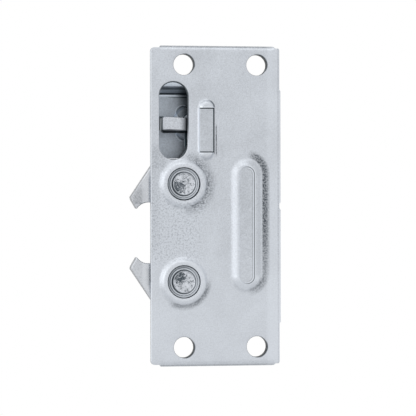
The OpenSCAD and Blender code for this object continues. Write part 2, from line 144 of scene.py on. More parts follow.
def corner_at(points, i):
    """A corner, unit vectors back and ahead from it, half the angle between them, and its shorter side."""
    here, last, after = (Vector(points[k % len(points)][:2]) for k in (i, i - 1, i + 1))
    back, ahead = last - here, after - here
    room = min(back.length, ahead.length)
    return here, back.normalized(), ahead.normalized(), back.angle(ahead) / 2, room


# Flat outlines are lists of (x, z) in millimetres
def arc_points(at, r, a0, a1, count):
    turns = [bearing(a0 + (a1 - a0) * i / count) for i in range(count + 1)]
    return [(at[0] + r * c, at[1] + r * s) for c, s in turns]


def circle_loop(at, r, count=96):
    return arc_points(at, r, 0, 360, count)[:-1]


def stadium_loop(at, r, half):
    """A long hole or rib outline with round ends and an upright middle."""
    x, z = at
    return arc_points((x, z + half), r, 0, 180, 28) + arc_points((x, z - half), r, 180, 360, 28)


def spaced(loop, step, closed=True):
    """The line with extra points, so that no stretch is longer than the step."""
    out = []
    ends = loop[1:] + loop[:1] if closed else loop[1:]
    for a, b in zip(loop, ends):
        n = max(1, math.ceil(math.dist(a, b) / step))
        out += [(a[0] + (b[0] - a[0]) * i / n, a[1] + (b[1] - a[1]) * i / n) for i in range(n)]
    return out if closed else out + [loop[-1]]


def rounded(points, step=0.35):
    """An outline whose corners (x, z, radius) are rounded off by arcs."""
    out = []
    for i, (x, z, r) in enumerate(points):
        if r <= 0:
            out.append((x, z))
            continue
        here, back, ahead, half, room = corner_at(points, i)
        cut = min(r / math.tan(half), ROUND_SHARE * room)
        centre = here + (back + ahead).normalized() * (cut / math.cos(half))
        start = here + back * cut - centre
        end = here + ahead * cut - centre
        sweep = math.atan2(start.cross(end), start.dot(end))
        count = max(2, math.ceil(abs(sweep) * start.length / step))
        for k in range(count + 1):
            out.append(tuple(centre + spun(start, sweep * k / count)))
    return out


def moved_in(loop, d):
    """The loop moved by d towards its own inside."""
    ring = np.array(loop)
    after = np.roll(ring, -1, axis=0)
    area = np.sum(ring[:, 0] * after[:, 1] - after[:, 0] * ring[:, 1])
    ahead = after - ring
    ahead = ahead / np.linalg.norm(ahead, axis=1)[:, None]
    left = np.stack([-ahead[:, 1], ahead[:, 0]], axis=1) * math.copysign(1, area)
    both = left + np.roll(left, 1, axis=0)
    both = both / np.maximum(np.sum(both * left, axis=1), 0.5)[:, None]
    return [tuple(p) for p in ring + both * d]


def inside(points, loop):
    """Even-odd test of many points at once."""
    x, z = points[:, 0], points[:, 1]
    hit = np.zeros(len(points), bool)
    for (x0, z0), (x1, z1) in zip(loop, loop[1:] + loop[:1]):
        if z0 != z1:
            hit ^= ((z0 > z) != (z1 > z)) & (x < (x1 - x0) * (z - z0) / (z1 - z0) + x0)
    return hit


def finder(places, count):
    """A search tree of (number, flat point) pairs."""
    tree = kdtree.KDTree(count)
    for i, p in places:
        tree.insert((*p, 0), i)
    tree.balance()
    return tree


# A sheet's edge gets lines at these shares of its radius, so that its round has faces
EDGE_LINES = (0.0, 0.2, 0.55, 1.0)
ROW_GAP = 0.866
CLEAR_OF_LINES = 0.6
EDGE_SEARCH = 1.2


class Plate:
    """A flat piece cut from sheet: outlines that join, holes, lines to follow, and two faces."""

    def __init__(self, outlines, holes, edge_r, grid, step=0.75):
        self.edge_r = edge_r
        self.grid = grid
        self.outlines = [spaced(loop, step) for loop in outlines]
        self.holes = [spaced(loop, step) for loop in holes]
        self.points = []
        self.edges = []
        for side, loops in ((1, self.outlines), (-1, self.holes)):
            for loop in loops:
                for share in EDGE_LINES:
                    self.add_loop(moved_in(loop, side * share * edge_r) if share else loop)

    def add_loop(self, loop, closed=True):
        start = len(self.points)
        n = len(loop)
        self.points += [tuple(p) for p in loop]
        self.edges += [(start + i, start + (i + 1) % n) for i in range(n if closed else n - 1)]

    def add_line(self, a, b, step):
        self.add_loop(spaced([a, b], step, closed=False), closed=False)

    def add_bends(self, marks, low, high, upright=False, step=0.9):
        """Lines where a bend begins, turns and ends, short of the edges on both sides."""
        for u in marks:
            ends = ((low + 0.4, u), (high - 0.4, u))
            self.add_line(*(end[::-1] if upright else end for end in ends), step)

    def in_metal(self, points):
        inner, outer = ([inside(points, loop) for loop in loops] for loops in (self.outlines, self.holes))
        return np.any(inner, axis=0) & ~np.any(outer + [np.zeros(len(points), bool)], axis=0)

    def fill(self, zones=()):
        """Grid points: coarse everywhere, finer in zones (middle, half length, from, to, spacing)."""
        ring = np.array([p for loop in self.outlines for p in loop])
        low, high = ring.min(axis=0), ring.max(axis=0)
        tree = finder(enumerate(self.points), len(self.points))
        for spacing in sorted({self.grid} | {zone[-1] for zone in zones}):
            rows = np.arange(low[1], high[1], spacing * ROW_GAP)
            columns = np.arange(low[0], high[0] + spacing, spacing)
            x = (columns[None, :] + (np.arange(len(rows)) % 2)[:, None] * spacing / 2).ravel()
            z = np.repeat(rows, len(columns))
            wanted = np.full(len(x), self.grid)
            for at, half, near, far, fine in zones:
                d = distance(x, z, at, half)
                wanted = np.where((d >= near) & (d < far), np.minimum(wanted, fine), wanted)
            grid = np.stack([x, z], axis=1)[wanted == spacing]
            for p in grid[self.in_metal(grid)]:
                if tree.find((*p, 0))[2] > CLEAR_OF_LINES * spacing:
                    self.points.append(tuple(p))

    def mesh(self, name, front, rear, place=lambda x, z, y: (x, y, z)):
        """Front and rear are depths or rules for them; place bends (x, z, depth) into the finished shape."""
        verts, _, faces, _, _, _ = delaunay_2d_cdt([Vector(p) for p in self.points], self.edges, [], 0, 1e-4)
        flat = np.array([tuple(v) for v in verts])
        tris = np.array([f for f in faces if len(f) == 3])
        tris = tris[self.in_metal(flat[tris].mean(axis=1))]
        sides = {(a, b) for f in tris.tolist() for a, b in zip(f, f[1:] + f[:1])}
        rim = [(a, b) for a, b in sides if (b, a) not in sides]
        drop = self.edge_drop(flat, rim)
        count = len(flat)
        co = []
        for rule, sunk in ((front, drop), (rear, -drop)):
            depth = (rule(*flat.T) if callable(rule) else rule) + sunk
            co += [place(*p) for p in zip(*flat.T, depth)]
        polys = tris.tolist() + (tris[:, ::-1] + count).tolist()
        faces = len(polys)
        polys += [(b, a, a + count, b + count) for a, b in rim]
        return make_mesh(name, co, polys, cut_from=faces)

    def edge_drop(self, flat, rim):
        """How far each point sinks so that the cut edges are rounded."""
        drop = np.zeros(len(flat))
        at_corner = {}
        for side in rim:
            for i in side:
                at_corner.setdefault(i, []).append(side)
        tree = finder(((i, flat[i]) for i in at_corner), len(at_corner))
        r = self.edge_r
        for i, p in enumerate(flat):
            near = [hit[1] for hit in tree.find_n((*p, 0), 4) if hit[2] < r + EDGE_SEARCH]
            gap = min((line_distance(p, flat[a], flat[b]) for k in near for a, b in at_corner[k]), default=r)
            if gap < r - TINY:
                drop[i] = r - math.sqrt(r * r - (r - gap) ** 2)
        return drop


def line_distance(p, a, b):
    along = b - a
    t = np.dot(p - a, along) / max(np.dot(along, along), TINY * TINY)
    return math.dist(p, a + along * min(max(float(t), 0.0), 1.0))


def link(name, data):
    obj = bpy.data.objects.new(name, data)
    bpy.context.scene.collection.objects.link(obj)
    return obj


def raw_mesh(name, co, edges, faces):
    """A mesh from points in millimetres."""
    mesh = bpy.data.meshes.new(name)
    mesh.from_pydata([tuple(v * MM for v in c) for c in co], edges, faces)
    return mesh


def smoothed(mesh, angle):
    """The mesh smooth but for edges sharper than the angle."""
    mesh.polygons.foreach_set("use_smooth", [True] * len(mesh.polygons))
    mesh.set_sharp_from_angle(angle=math.radians(angle))
    return mesh


def from_bmesh(name, bm, mesh, angle):
    bm.to_mesh(mesh)
    bm.free()
    return link(name, smoothed(mesh, angle))


def make_mesh(name, co, faces, angle=SHARP_DEGREES, cut_from=None):
    """An object that is smooth but for edges sharper than the angle.
    Faces from cut_from on are sheared edges and take a second material."""
    mesh = raw_mesh(name, co, [], faces)
    if cut_from is not None:
        mesh.polygons.foreach_set("material_index", [int(i >= cut_from) for i in range(len(faces))])
    bm = bmesh.new()
    bm.from_mesh(mesh)
    bmesh.ops.delete(bm, geom=[v for v in bm.verts if not v.link_faces], context="VERTS")
    bmesh.ops.recalc_face_normals(bm, faces=bm.faces)
    return from_bmesh(name, bm, mesh, angle)


def joined(name, parts):
    bm = bmesh.new()
    for part in parts:
        bm.from_mesh(part.data)
        bpy.data.objects.remove(part)
    return from_bmesh(name, bm, bpy.data.meshes.new(name), SHARP_DEGREES)


class Fold:
    """A strip's middle line through corners (along, depth), bent at each corner by an arc."""

    def __init__(self, corners, radius):
        self.pieces = []
        self.marks = []
        self.length = 0.0
        corners = [Vector(c) for c in corners]
        p = corners[0]
        for i, corner in enumerate(corners[1:], 1):
            ahead = (corner - corners[i - 1]).normalized()
            heading = math.atan2(ahead.y, ahead.x)
            after = (corners[i + 1] - corner).normalized() if i < len(corners) - 1 else ahead
            turn = math.atan2(ahead.cross(after), ahead.dot(after))
            cut = radius * math.tan(abs(turn) / 2)
            straight = (corner - p).length - cut
            self.pieces.append((straight, p, heading, 0.0))
            self.length += straight
            if turn:
                arc = abs(turn) * radius
                self.pieces.append((arc, corner - ahead * cut, heading, math.copysign(radius, turn)))
                self.marks += [self.length + arc * k / BEND_STEPS for k in range(BEND_STEPS + 1)]
                p = corner + after * cut
                self.length += arc

    def at(self, u, offset, square=0.0):
        """The point at u along the strip, offset to its left; square pushes the outer side outwards."""
        for length, p, heading, bend in self.pieces[:-1]:
            if u <= length:
                break
            u -= length
        else:
            _, p, heading, bend = self.pieces[-1]
        ahead = Vector((math.cos(heading), math.sin(heading)))
        left = Vector((-ahead.y, ahead.x))
        if not bend:
            return p + ahead * u + left * offset
        turn = u / bend
        spoke = -left * (bend - offset)
        if abs(bend - offset) > abs(bend):
            spoke = spoke * max(math.cos(turn), abs(math.sin(turn))) ** -square
        return p + left * bend + spun(spoke, turn)


def turned_piece(name, at, profile, segments=96):
    """A turned piece on an axis along Y; the closed profile holds (radius, depth)."""
    co, faces, rings = [], [], []
    for r, y in profile:
        ring = circle_loop(at, r, segments) if r > TINY else [at]
        rings.append([len(co) + k % len(ring) for k in range(segments + 1)])
        co += [(x, y, z) for x, z in ring]
    for a, b in zip(rings, rings[1:] + rings[:1]):
        for k in range(segments):
            corners = list(dict.fromkeys((a[k], b[k], b[k + 1], a[k + 1])))
            if len(corners) > 2:
                faces.append(corners)
    return make_mesh(name, co, faces, angle=TURNED_DEGREES)


def eased(profile, r=0.15):
    """A (radius, depth) profile with its corners rounded; points on the axis stay."""
    out = []
    for i, point in enumerate(profile):
        here, back, ahead, half, room = corner_at(profile, i)
        if here.x < TINY or half > NEARLY_STRAIGHT:
            out.append(point)
            continue
        cut = min(r / math.tan(half), EASE_SHARE * room)
        a, b = here + back * cut, here + ahead * cut
        out += [tuple(a * (1 - t) ** 2 + here * 2 * t * (1 - t) + b * t ** 2) for t in EASE_STEPS]
    return out


def wear(obj, body, slot, nodes, *finishes):
    """Gives a piece its finishes and, when one is given, its body, and hides the CAD nodes it stands for. The
    slot argument is not used.
    """
    if not obj.data.materials:
        for finish in finishes:
            obj.data.materials.append(finish)
    if body:
        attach(obj, body)
    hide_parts(*nodes)


class Shade:
    """A wrapped socket: sums and products written with it add nodes."""

    def __init__(self, nodes, socket):
        self.nodes = nodes
        self.socket = socket

    def maths(self, operation, other=0.0):
        return self.nodes.node("Math", {"operation": operation}, inputs=(self, other))

    def __add__(self, other):
        return self.maths("ADD", other)

    def __sub__(self, other):
        return self.maths("SUBTRACT", other)

    def __rsub__(self, other):
        return self.maths("MULTIPLY", -1.0) + other

    def __mul__(self, other):
        return self.maths("MULTIPLY", other)

    __radd__ = __add__
    __rmul__ = __mul__

    def away(self, at=0.0, half=0.0):
        """Distance of a coordinate from a place, or past a half length about it."""
        far = (self - at).maths("ABSOLUTE")
        return (far - half).maths("MAXIMUM") if half else far

    def window(self, low, high, soft):
        """1 between low and high, falling to 0 over the soft width outside them."""
        return self.ramp(low - soft, low) * self.ramp(high + soft, high)

    def windows(self, table):
        """Windows added up, each as (low, high, soft, weight)."""
        return sum(self.window(low, high, soft) * weight for low, high, soft, weight in table)

    def clamp(self):
        return self.nodes.node("Clamp", Value=self)

    def ramp(self, zero, one):
        """0 at the first value, 1 at the second, whichever is larger, and smooth between."""
        return self.nodes.node("MapRange", {"interpolation_type": "SMOOTHSTEP"}, Value=self,
                               From_Min=zero, From_Max=one)


# The Mix node's sockets for a factor and two colours, and for the mixed colour
MIX_IN = (0, 6, 7)
MIX_OUT = 2


class Nodes:
    """An emptied node tree, for a material or a world."""

    def __init__(self, owner):
        owner.use_nodes = True
        self.tree = owner.node_tree
        self.tree.nodes.clear()

    def node(self, kind, settings=None, output=0, inputs=(), **named):
        """Any shader node: its settings, then its sockets by place or by name (underscores for spaces)."""
        node = self.tree.nodes.new("ShaderNode" + kind)
        for key, value in (settings or {}).items():
            setattr(node, key, value)
        for i, value in inputs.items() if isinstance(inputs, dict) else enumerate(inputs):
            self.feed(node.inputs[i], value)
        for key, value in named.items():
            self.feed(node.inputs[key.replace("_", " ")], value)
        return Shade(self, node.outputs[output]) if node.outputs else None

    def feed(self, socket, value):
        if isinstance(value, Shade):
            self.tree.links.new(value.socket, socket)
        elif socket.type == "RGBA":
            socket.default_value = (*value, 1.0)
        else:
            socket.default_value = value


class Finish(Nodes):
    """A metal or rubber material under construction; x, y and z are its place in millimetres."""

    def __init__(self, name, metallic=0.9):
        self.material = bpy.data.materials.new(name)
        super().__init__(self.material)
        self.metallic = metallic
        self.coords = self.node("TexCoord", output="Object")
        scaled = self.node("VectorMath", {"operation": "SCALE"}, Vector=self.coords, Scale=1 / MM)
        self.x, self.y, self.z = (self.node("SeparateXYZ", output=axis, Vector=scaled) for axis in "XYZ")

    def out(self, base, roughness, height, strength, depth):
        """Ends the material in its Principled shader, with bumps of a height mask."""
        bump = self.node("Bump", Height=height, Strength=strength, Distance=depth * MM)
        surface = self.node("BsdfPrincipled", Base_Color=base, Metallic=self.metallic,
                            Roughness=roughness.clamp(), Normal=bump)
        self.node("OutputMaterial", Surface=surface)
        return self.material

    def noise(self, scale, detail, rough, distortion=0.0, stretch=None):
        vector = self.node("Mapping", Vector=self.coords, Scale=stretch) if stretch else self.coords
        return self.node("TexNoise", Vector=vector, Scale=scale, Detail=detail, Roughness=rough,
                         Distortion=distortion)

    def mix(self, factor, a, b):
        return self.node("Mix", {"data_type": "RGBA"}, MIX_OUT, dict(zip(MIX_IN, (factor, a, b))))

    def length(self, dx, dz):
        return (dx * dx + dz * dz).maths("SQRT")

    def reach(self, at, half=0.0):
        """Distance in millimetres from (x, z), or from an upright segment through it."""
        return self.length(self.x.away(at[0]), self.z.away(at[1], half))

    def from_mounts(self):
        """Distance from the nearest of the four mounting holes' middles."""
        x, z = MOUNT_AT[-1]
        return self.length(self.x.away().away(x), self.z.away().away(z))


# Dark colours on the metal, as linear colours: for painted shade with a few darker tones, for dark lines and
# a dark patch on the pivots, and for dark pits within painted shade
SHADE_AND_TONE = (0.03, 0.045, 0.055)
PIVOT_DARK = (0.055, 0.072, 0.088)
PITS_AND_SHADE = (0.09, 0.105, 0.125)
# Masks that marks may return, in order: pits with painted shade, a matt grain, painted highlights with
# lighter tones, and painted shade with darker tones
MASKS = ("crust", "frost", "shine", "grime")


def tinted(colour, share):
    return tuple(min(c * share, 1.0) for c in colour)


def zinc(name, colour, rough=0.4, marks=None, grain=1.0):
    """Zinc plate with fine grain and slow mottling. marks(finish) may return the masks in MASKS: rough dark
    pits with painted shade, a matt grain, painted highlights with lighter tones on smoother metal, and
    painted shade with a few darker tones."""
    f = Finish(name)
    fine = f.noise(1700, 3, 0.75)
    mid = f.noise(620, 4, 0.6, 0.3)
    slow = f.noise(60, 3, 0.55, 0.5)
    given = marks(f) if marks else {}
    crust, frost, shine, grime = (given.get(key, f.x * 0.0) for key in MASKS)
    mottle = (slow - 0.5) * 0.7 + (mid - 0.5) * 0.5 + (fine - 0.5) * (frost * 0.9 + 1.4 * grain) + 0.5
    base = f.mix(mottle.ramp(0.05, 0.95), tinted(colour, 0.80), tinted(colour, 1.13))
    height = fine * 0.5 + mid * 0.35
    roughness = (mid - 0.5) * 0.2 + (slow - 0.5) * 0.14 + rough
    if marks:
        coarse = f.noise(1300, 3, 0.7)
        drift = f.noise(170, 2, 0.5)
        specks = f.noise(1250, 3, 0.8).ramp(0.51, 0.40)
        zone = crust * ((drift - 0.5).ramp(-0.3, 0.05) * 0.45 + 0.55)
        pits = coarse.ramp(0.58, 0.42) * zone + specks * frost * 0.5
        # Mixes in, in turn: the darkening of pits and painted shade, the lighter matt grain, dark pits,
        # painted highlights and painted shade
        for share, paint in ((crust * 0.46, tinted(colour, 0.45)), (frost * 0.5, tinted(colour, 1.16)),
                             (pits * 0.66, PITS_AND_SHADE), (shine * 0.6, tinted(colour, 1.22)), (grime, SHADE_AND_TONE)):
            base = f.mix(share.clamp(), base, paint)
        zone = zone + frost * 0.4
        height = height + coarse * zone * 2.2
        roughness = roughness + zone * 0.12 - shine * 0.1
    return f.out(base, roughness, height, 0.45, 0.05)


def sheared_edge(name, colour, dark=None):
    """The cut edge of a sheet: streaked across its thickness, darker than the plated face.
    dark(finish) may return a mask of places that no light reaches."""
    f = Finish(name)
    streaks = f.noise(1500, 3, 0.6, stretch=(1.0, 0.12, 1.0))
    base = f.mix(streaks.ramp(0.35, 0.7), tinted(colour, 0.45), tinted(colour, 0.8))
    if dark:
        base = f.mix(dark(f).clamp(), base, tinted(colour, 0.03))
    return f.out(base, (streaks - 0.5) * 0.3 + 0.45, streaks, 0.4, 0.05)


def moulded_rubber(name, colour):
    f = Finish(name, metallic=0.0)
    grain = f.noise(1900, 3, 0.6)
    base = f.mix(f.noise(170, 3, 0.5).ramp(0.35, 0.75), colour, tinted(colour, 2.2))
    return f.out(base, (grain - 0.5) * 0.3 + 0.62, grain, 0.3, 0.05)


def drawn_wire(name, colour):
    f = Finish(name)
    drawn = f.noise(2400, 3, 0.6)
    base = f.mix(f.noise(230, 2, 0.5).ramp(0.3, 0.7), colour, tinted(colour, 0.68))
    return f.out(base, (drawn - 0.5) * 0.25 + 0.36, drawn, 0.3, 0.03)


def spun_head(name, colour, at, patch_at):
    """A staked pivot head: dark lines at its dish edge and rim, hammered metal inside with dark spots, and a
    dark patch to one side of its middle.
    """
    f = Finish(name)
    fine = f.noise(3300, 3, 0.65)
    blotch = f.noise(900, 3, 0.7, 1.2)
    slow = f.noise(300, 3, 0.6, 1.4)
    far = f.reach(at)
    dish = far.ramp(DISH_R + 0.1, DISH_R - 0.2)
    side = f.reach(patch_at).ramp(4.5, 1.7)
    spots = blotch.ramp(0.50, 0.58) * slow.ramp(0.42, 0.54) * 0.6
    spots = (side + (blotch - 0.5) * 3.0).ramp(0.45, 0.95) * side.ramp(0.0, 0.4) * 0.8 + spots
    rim = far.windows([(DISH_R + 0.05, DISH_R + 0.18, 0.1, 0.45),
                       (HEAD_FRONT_R - 0.12, HEAD_FRONT_R + 0.2, 0.1, 0.85)])
    base = f.mix((blotch * 0.6 + slow * 0.4).ramp(0.36, 0.64), tinted(colour, 1.14), tinted(colour, 0.8))
    return f.out(f.mix((spots * dish + rim).clamp(), base, PIVOT_DARK), dish * 0.08 + (slow - 0.5) * 0.3 + 0.32,
                 blotch * dish * 3.0 + fine * 0.3, 0.7, 0.12)


def ringed(name, colour, at, arc):
    """A turned collar with dark lines round it, painted shade on its edge low on the right, weighted by arc,
    and a band inside its edge a little darker all round, with painted shade heavier towards the top left.
    """
    f = Finish(name)
    fine = f.noise(3300, 3, 0.65)
    slow = f.noise(230, 2, 0.5)
    far = f.reach(at)
    rings = [(STEP_R, 0.06, 0.3), (COLLAR_R, 0.14, 0.4 + arc * 0.4), (HEAD_FRONT_R + 0.17, 0.14, 0.9)]
    lines = far.windows([(r - half, r + half, 0.09, weight) for r, half, weight in rings])
    # Painted shade on the collar's edge, low on the right, weighted by arc
    low = (f.x - at[0] + (at[1] - f.z) * 1.6).ramp(-2.0, 9.0)
    lines = far.window(COLLAR_R - 0.35, COLLAR_R, 0.09) * low * arc + lines
    lines = lines * f.y.ramp(0.2, -0.3)
    # A band inside the collar's edge, a little darker all round, with painted shade heavier towards the top
    # left
    high = (at[0] - f.x + (f.z - at[1]) * 0.6).ramp(-4.0, 6.0)
    shaded_band = far.window(STEP_R + 0.1, COLLAR_R - 0.15, 0.12) * (high * 0.34 + 0.12)
    base = f.mix((fine * 0.5 + slow * 0.5).ramp(0.3, 0.7), tinted(colour, 0.85), tinted(colour, 1.1))
    return f.out(f.mix((lines + shaded_band).clamp(), base, PIVOT_DARK), (fine - 0.5) * 0.25 + 0.34, fine, 0.3, 0.03)


def length(label, text, value, low, high):
    """A size property, given in millimetres."""
    return bpy.props.FloatProperty(name=label, description=text, default=value * MM, min=low * MM,
                                   max=high * MM, unit="LENGTH")


def tone(label, text, *value):
    """A colour property, given as linear red, green and blue."""
    return bpy.props.FloatVectorProperty(name=label, description=text, subtype="COLOR", default=value,
                                         min=0, max=1)


# Sizes and colours that a user may change
class LatchSizes(bpy.types.PropertyGroup):
    edge_r: length("Edge radius", "Rounding of the blanked edges", 0.3, 0.05, 0.6)
    boss_h: length("Boss height", "Raised height of the pivot bosses", 1.6, 0.0, 2.2)
    boss_foot: length("Boss foot", "Radius where a pivot boss meets the plate", 11.2, 9, 14)
    boss_top: length("Boss top", "Radius of a pivot boss's flat top", 8.2, 7.2, 9)
    rib_h: length("Rib height", "Raised height of the long rib", 2.2, 0.0, 3)
    rib_foot: length("Rib foot", "Half width of the rib at the plate", 7.4, 5, 10)
    rib_top: length("Rib top", "Half width of the rib's flat top", 3.35, 2, 5)
    strap_h: length("Strap height", "Raised height of the bridge strap", 1.8, 0.0, 2)
    wire: length("Claw spring wire", "Thickness of the claw springs' wire", 1.0, 0.5, 1.2)
    lever_wire: length("Lever spring wire", "Thickness of the lever spring's wire", 0.8, 0.4, 1.0)
    grid: length("Mesh spacing", "Point spacing on the plain parts of a sheet", 1.8, 0.8, 4)


class LatchColours(bpy.types.PropertyGroup):
    plate: tone("Front plate", "Zinc plate on the cover", 0.637, 0.67, 0.717)
    case: tone("Case", "Zinc plate on the case", 0.50, 0.55, 0.61)
    claw: tone("Claws", "Zinc plate on the claws", 0.56, 0.58, 0.61)
    pivot: tone("Pivots", "Spun pivot heads and rivets", 0.65, 0.68, 0.725)
    bush: tone("Bushes", "Turned bushes and washers", 0.63, 0.67, 0.72)
    lever: tone("Lever", "Zinc plate on the lever", 0.63, 0.66, 0.705)
    wire: tone("Springs", "Drawn spring wire", 0.30, 0.31, 0.33)
    rubber: tone("Buffer", "Moulded rubber", 0.03, 0.03, 0.032)


def size(name):
    """A size in millimetres."""
    return getattr(bpy.context.scene.latch_sizes, name) / MM


def colour(name):
    return tuple(getattr(bpy.context.scene.latch_colours, name))


# Cover, as a flat blank: places of its cut-outs and pressed forms
SLOT_AT = (-20.55, 36.7)
SLOT_R = 6.2
SLOT_HALF = 10.5
MOUNT_AT = [(sx * 16.0, sz * 61.0) for sx in (-1, 1) for sz in (-1, 1)]
MOUNT_R = 4.5
BOSS_HOLE_R = COLLAR_R + 0.1
RIB_AT = (11.3, -8.35)
RIB_HALF = 22.0
RIB_STEP = 0.2
RIB_LINE = 3.3
STRAP_X, STRAP_Z = STRAP_AT = (-6.1, 32.75)
STRAP_W, STRAP_H = 3.2, 9.65
STRAP_DOME = 3.8
STRAP_CREASE = 0.9
STRAP_EDGE = 0.45
STRAP_SLOPE = 0.6
SLIT_DEPTH = -0.9
GROOVE = 0.3
GROOVE_LINES = (-0.36, -0.12, 0.0, 0.12, 0.36)
PLATE_X = (COVER_LOW[0], COVER_HIGH[0] - 0.9)
PLATE_Z = COVER_HIGH[2] - 0.9
CORNER_R = 1.7
BEND_R = 1.4
END_TAB_X = (PLATE_X[0] + 4.6, PLATE_X[1] - 2.7)
END_TAB_BACK = 6.0
SIDE_TABS = ((1.9, 49.5), (-50.1, -2.0))
TAB_EASE = 0.9
WALL_IN = 0.6


def edge_fold(out, back):
    """The plate's middle line, bent back at a distance out and ending at a depth."""
    mid = SHEET / 2
    return Fold([(0, mid), (out - mid, mid), (out - mid, back)], BEND_R)


END_FOLD = edge_fold(COVER_HIGH[2], END_TAB_BACK)
SIDE_FOLD = edge_fold(COVER_HIGH[0], COVER_HIGH[1])


def cover_rise(x, z, back=0.0):
    """How far the cover is pressed towards the front; back narrows a form for the inner side."""
    h = np.zeros(len(x))
    for at in (UPPER, LOWER):
        boss = ramp(distance(x, z, at) + back, size("boss_foot"), size("boss_top"))
        h = np.maximum(h, size("boss_h") * boss)
    d = distance(x, z, RIB_AT, RIB_HALF) + back
    top = size("rib_top")
    rib = (size("rib_h") - RIB_STEP) * ramp(d, size("rib_foot"), top)
    if not back:
        rib += RIB_STEP * ramp(d, top, top - 0.15)
    h = np.maximum(h, rib)
    dx = np.abs(x - STRAP_X)
    dz = np.abs(z - STRAP_Z) - STRAP_H
    right = x > STRAP_X
    low_part = size("strap_h") - STRAP_CREASE
    edge = np.where(right, 0.16 * ramp(STRAP_W - dx, STRAP_EDGE, 0.0), 0.0)
    crease = GROOVE * ramp(-dz, 0.36, 0.12)
    h = np.where((dx < STRAP_W + 0.01) & (dz <= 0), low_part - (0 if back else edge + crease), h)
    side = low_part * ramp(STRAP_X - x, STRAP_W + STRAP_SLOPE, STRAP_W - 0.1)
    h = np.where((x < STRAP_X - STRAP_W) & (dz <= 0), np.maximum(h, side), h)
    dome = 1 - (dx / (STRAP_W + 0.6)) ** 2 - (np.maximum(dz, 0) / STRAP_DOME) ** 2
    steep = np.where(z > STRAP_Z, 0.75, 1.1)
    h = np.where(dz > 0, np.maximum(h, size("strap_h") * smooth_step(np.clip(dome, 0, 1) ** steep)), h)
    if not back:
        slit = right & (dz < 0) & (dx > STRAP_W + 0.02) & (dx < STRAP_W + 0.3)
        h = np.where(slit, SLIT_DEPTH, h)
    return h


def bent_share(v, low, high):
    """1 along a bent edge, easing to 0 past its ends, where the sheet runs on flat."""
    return float(smooth_step((min(v - low, high - v) + TAB_EASE) / (TAB_EASE + 0.3)))


def cover_place(x, z, s):
    """Bends the flat blank: s is the depth from the front face."""
    share = bent_share(x, *END_TAB_X)
    if abs(z) > END_FOLD.marks[0] and share:
        out = END_FOLD.at(abs(z), s - SHEET / 2)
        up = min(abs(z) + (out.x - abs(z)) * share, COVER_HIGH[2])
        return x, s + (out.y - s) * share, math.copysign(up, z)
    share = max(bent_share(z, *tab) for tab in SIDE_TABS)
    if x > SIDE_FOLD.marks[0] and share:
        out = SIDE_FOLD.at(x, s - SHEET / 2)
        return min(x + (out.x - x) * share, COVER_HIGH[0]), s + (out.y - s) * share, z
    return x, s, z


def bent_edge(tab, flat, end):
    """Corners of the blank round an edge to be bent: (along, out, radius)."""
    low, high = tab
    steps = [(-TAB_EASE, flat, 0.3), (0.2, flat + 1.3, 0.4), (1.3, end, 0.6)]
    return ([(low + inset, out, r) for inset, out, r in steps]
            + [(high - inset, out, r) for inset, out, r in reversed(steps)])


def cover_outline():
    """The blank, with an edge to bend back at each end and two on the right."""
    low_end = [(PLATE_X[0], -PLATE_Z, CORNER_R)]
    low_end += [(x, -z, r) for x, z, r in bent_edge(END_TAB_X, PLATE_Z, END_FOLD.length)]
    low_end.append((PLATE_X[1], -PLATE_Z, CORNER_R))
    sides = [bent_edge(tab, PLATE_X[1], SIDE_FOLD.length) for tab in reversed(SIDE_TABS)]
    sides = [(x, z, r) for side in sides for z, x, r in side]
    return rounded(low_end + sides + [(x, -z, r) for x, z, r in reversed(low_end)])


def cover_mesh():
    holes = [circle_loop(at, MOUNT_R, 64) for at in MOUNT_AT]
    holes += [circle_loop(at, BOSS_HOLE_R) for at in (UPPER, LOWER)]
    holes.append(stadium_loop(SLOT_AT, SLOT_R, SLOT_HALF))
    plate = Plate([cover_outline()], holes, size("edge_r"), size("grid"))
    top = size("rib_top")
    for r in (top - 0.3, top - 0.12, top, top + 0.3):
        plate.add_loop(spaced(stadium_loop(RIB_AT, r, RIB_HALF), 0.6))
    low, high = STRAP_Z - STRAP_H, STRAP_Z + STRAP_H
    for gap in (-STRAP_EDGE, -0.2, 0.0, 0.03, 0.29, 0.32):
        for x in (STRAP_X - STRAP_W - gap, STRAP_X + STRAP_W + gap):
            plate.add_line((x, low), (x, high), 0.5)
    reach = STRAP_W - 0.02
    for z in (end + dz for end in (low, high) for dz in GROOVE_LINES):
        plate.add_line((STRAP_X - reach, z), (STRAP_X + reach, z), 0.4)
    plate.add_bends([way * u for u in END_FOLD.marks for way in (-1, 1)], *END_TAB_X)
    for tab in SIDE_TABS:
        plate.add_bends(SIDE_FOLD.marks, *tab, upright=True)
    zones = [(at, 0, 0, size("boss_foot") + 0.8, 0.55) for at in (UPPER, LOWER)]
    plate.fill(zones + [(RIB_AT, RIB_HALF, 0, size("rib_foot") + 0.6, 0.6), (STRAP_AT, STRAP_H, 0, 4.6, 0.5)])
    return plate.mesh("cover_sheet", lambda x, z: -cover_rise(x, z),
                      lambda x, z: SHEET - cover_rise(x, z, WALL_IN), cover_place)


# Case: a channel pressed from sheet, with a right wall
CASE_X = (CASE_LOW[0], CASE_HIGH[0])
WALL_MOUTH, WALL_FLOOR = 52.2, 49.9
CASE_BEND = 1.8
CORNER_Z = 49.0
BEAD_AT = (9.0, 0.0)
BEAD_HALF = 26.0
BEAD_D = 1.2
LEVER_BOSS_R = 7.8
LEVER_BOSS_FOOT = LEVER_BOSS_R + 0.35
LEVER_BOSS_TOP = LEVER_BOSS_R - 0.5
LEVER_BOSS_H = FLOOR - LEVER_BACK - 0.3
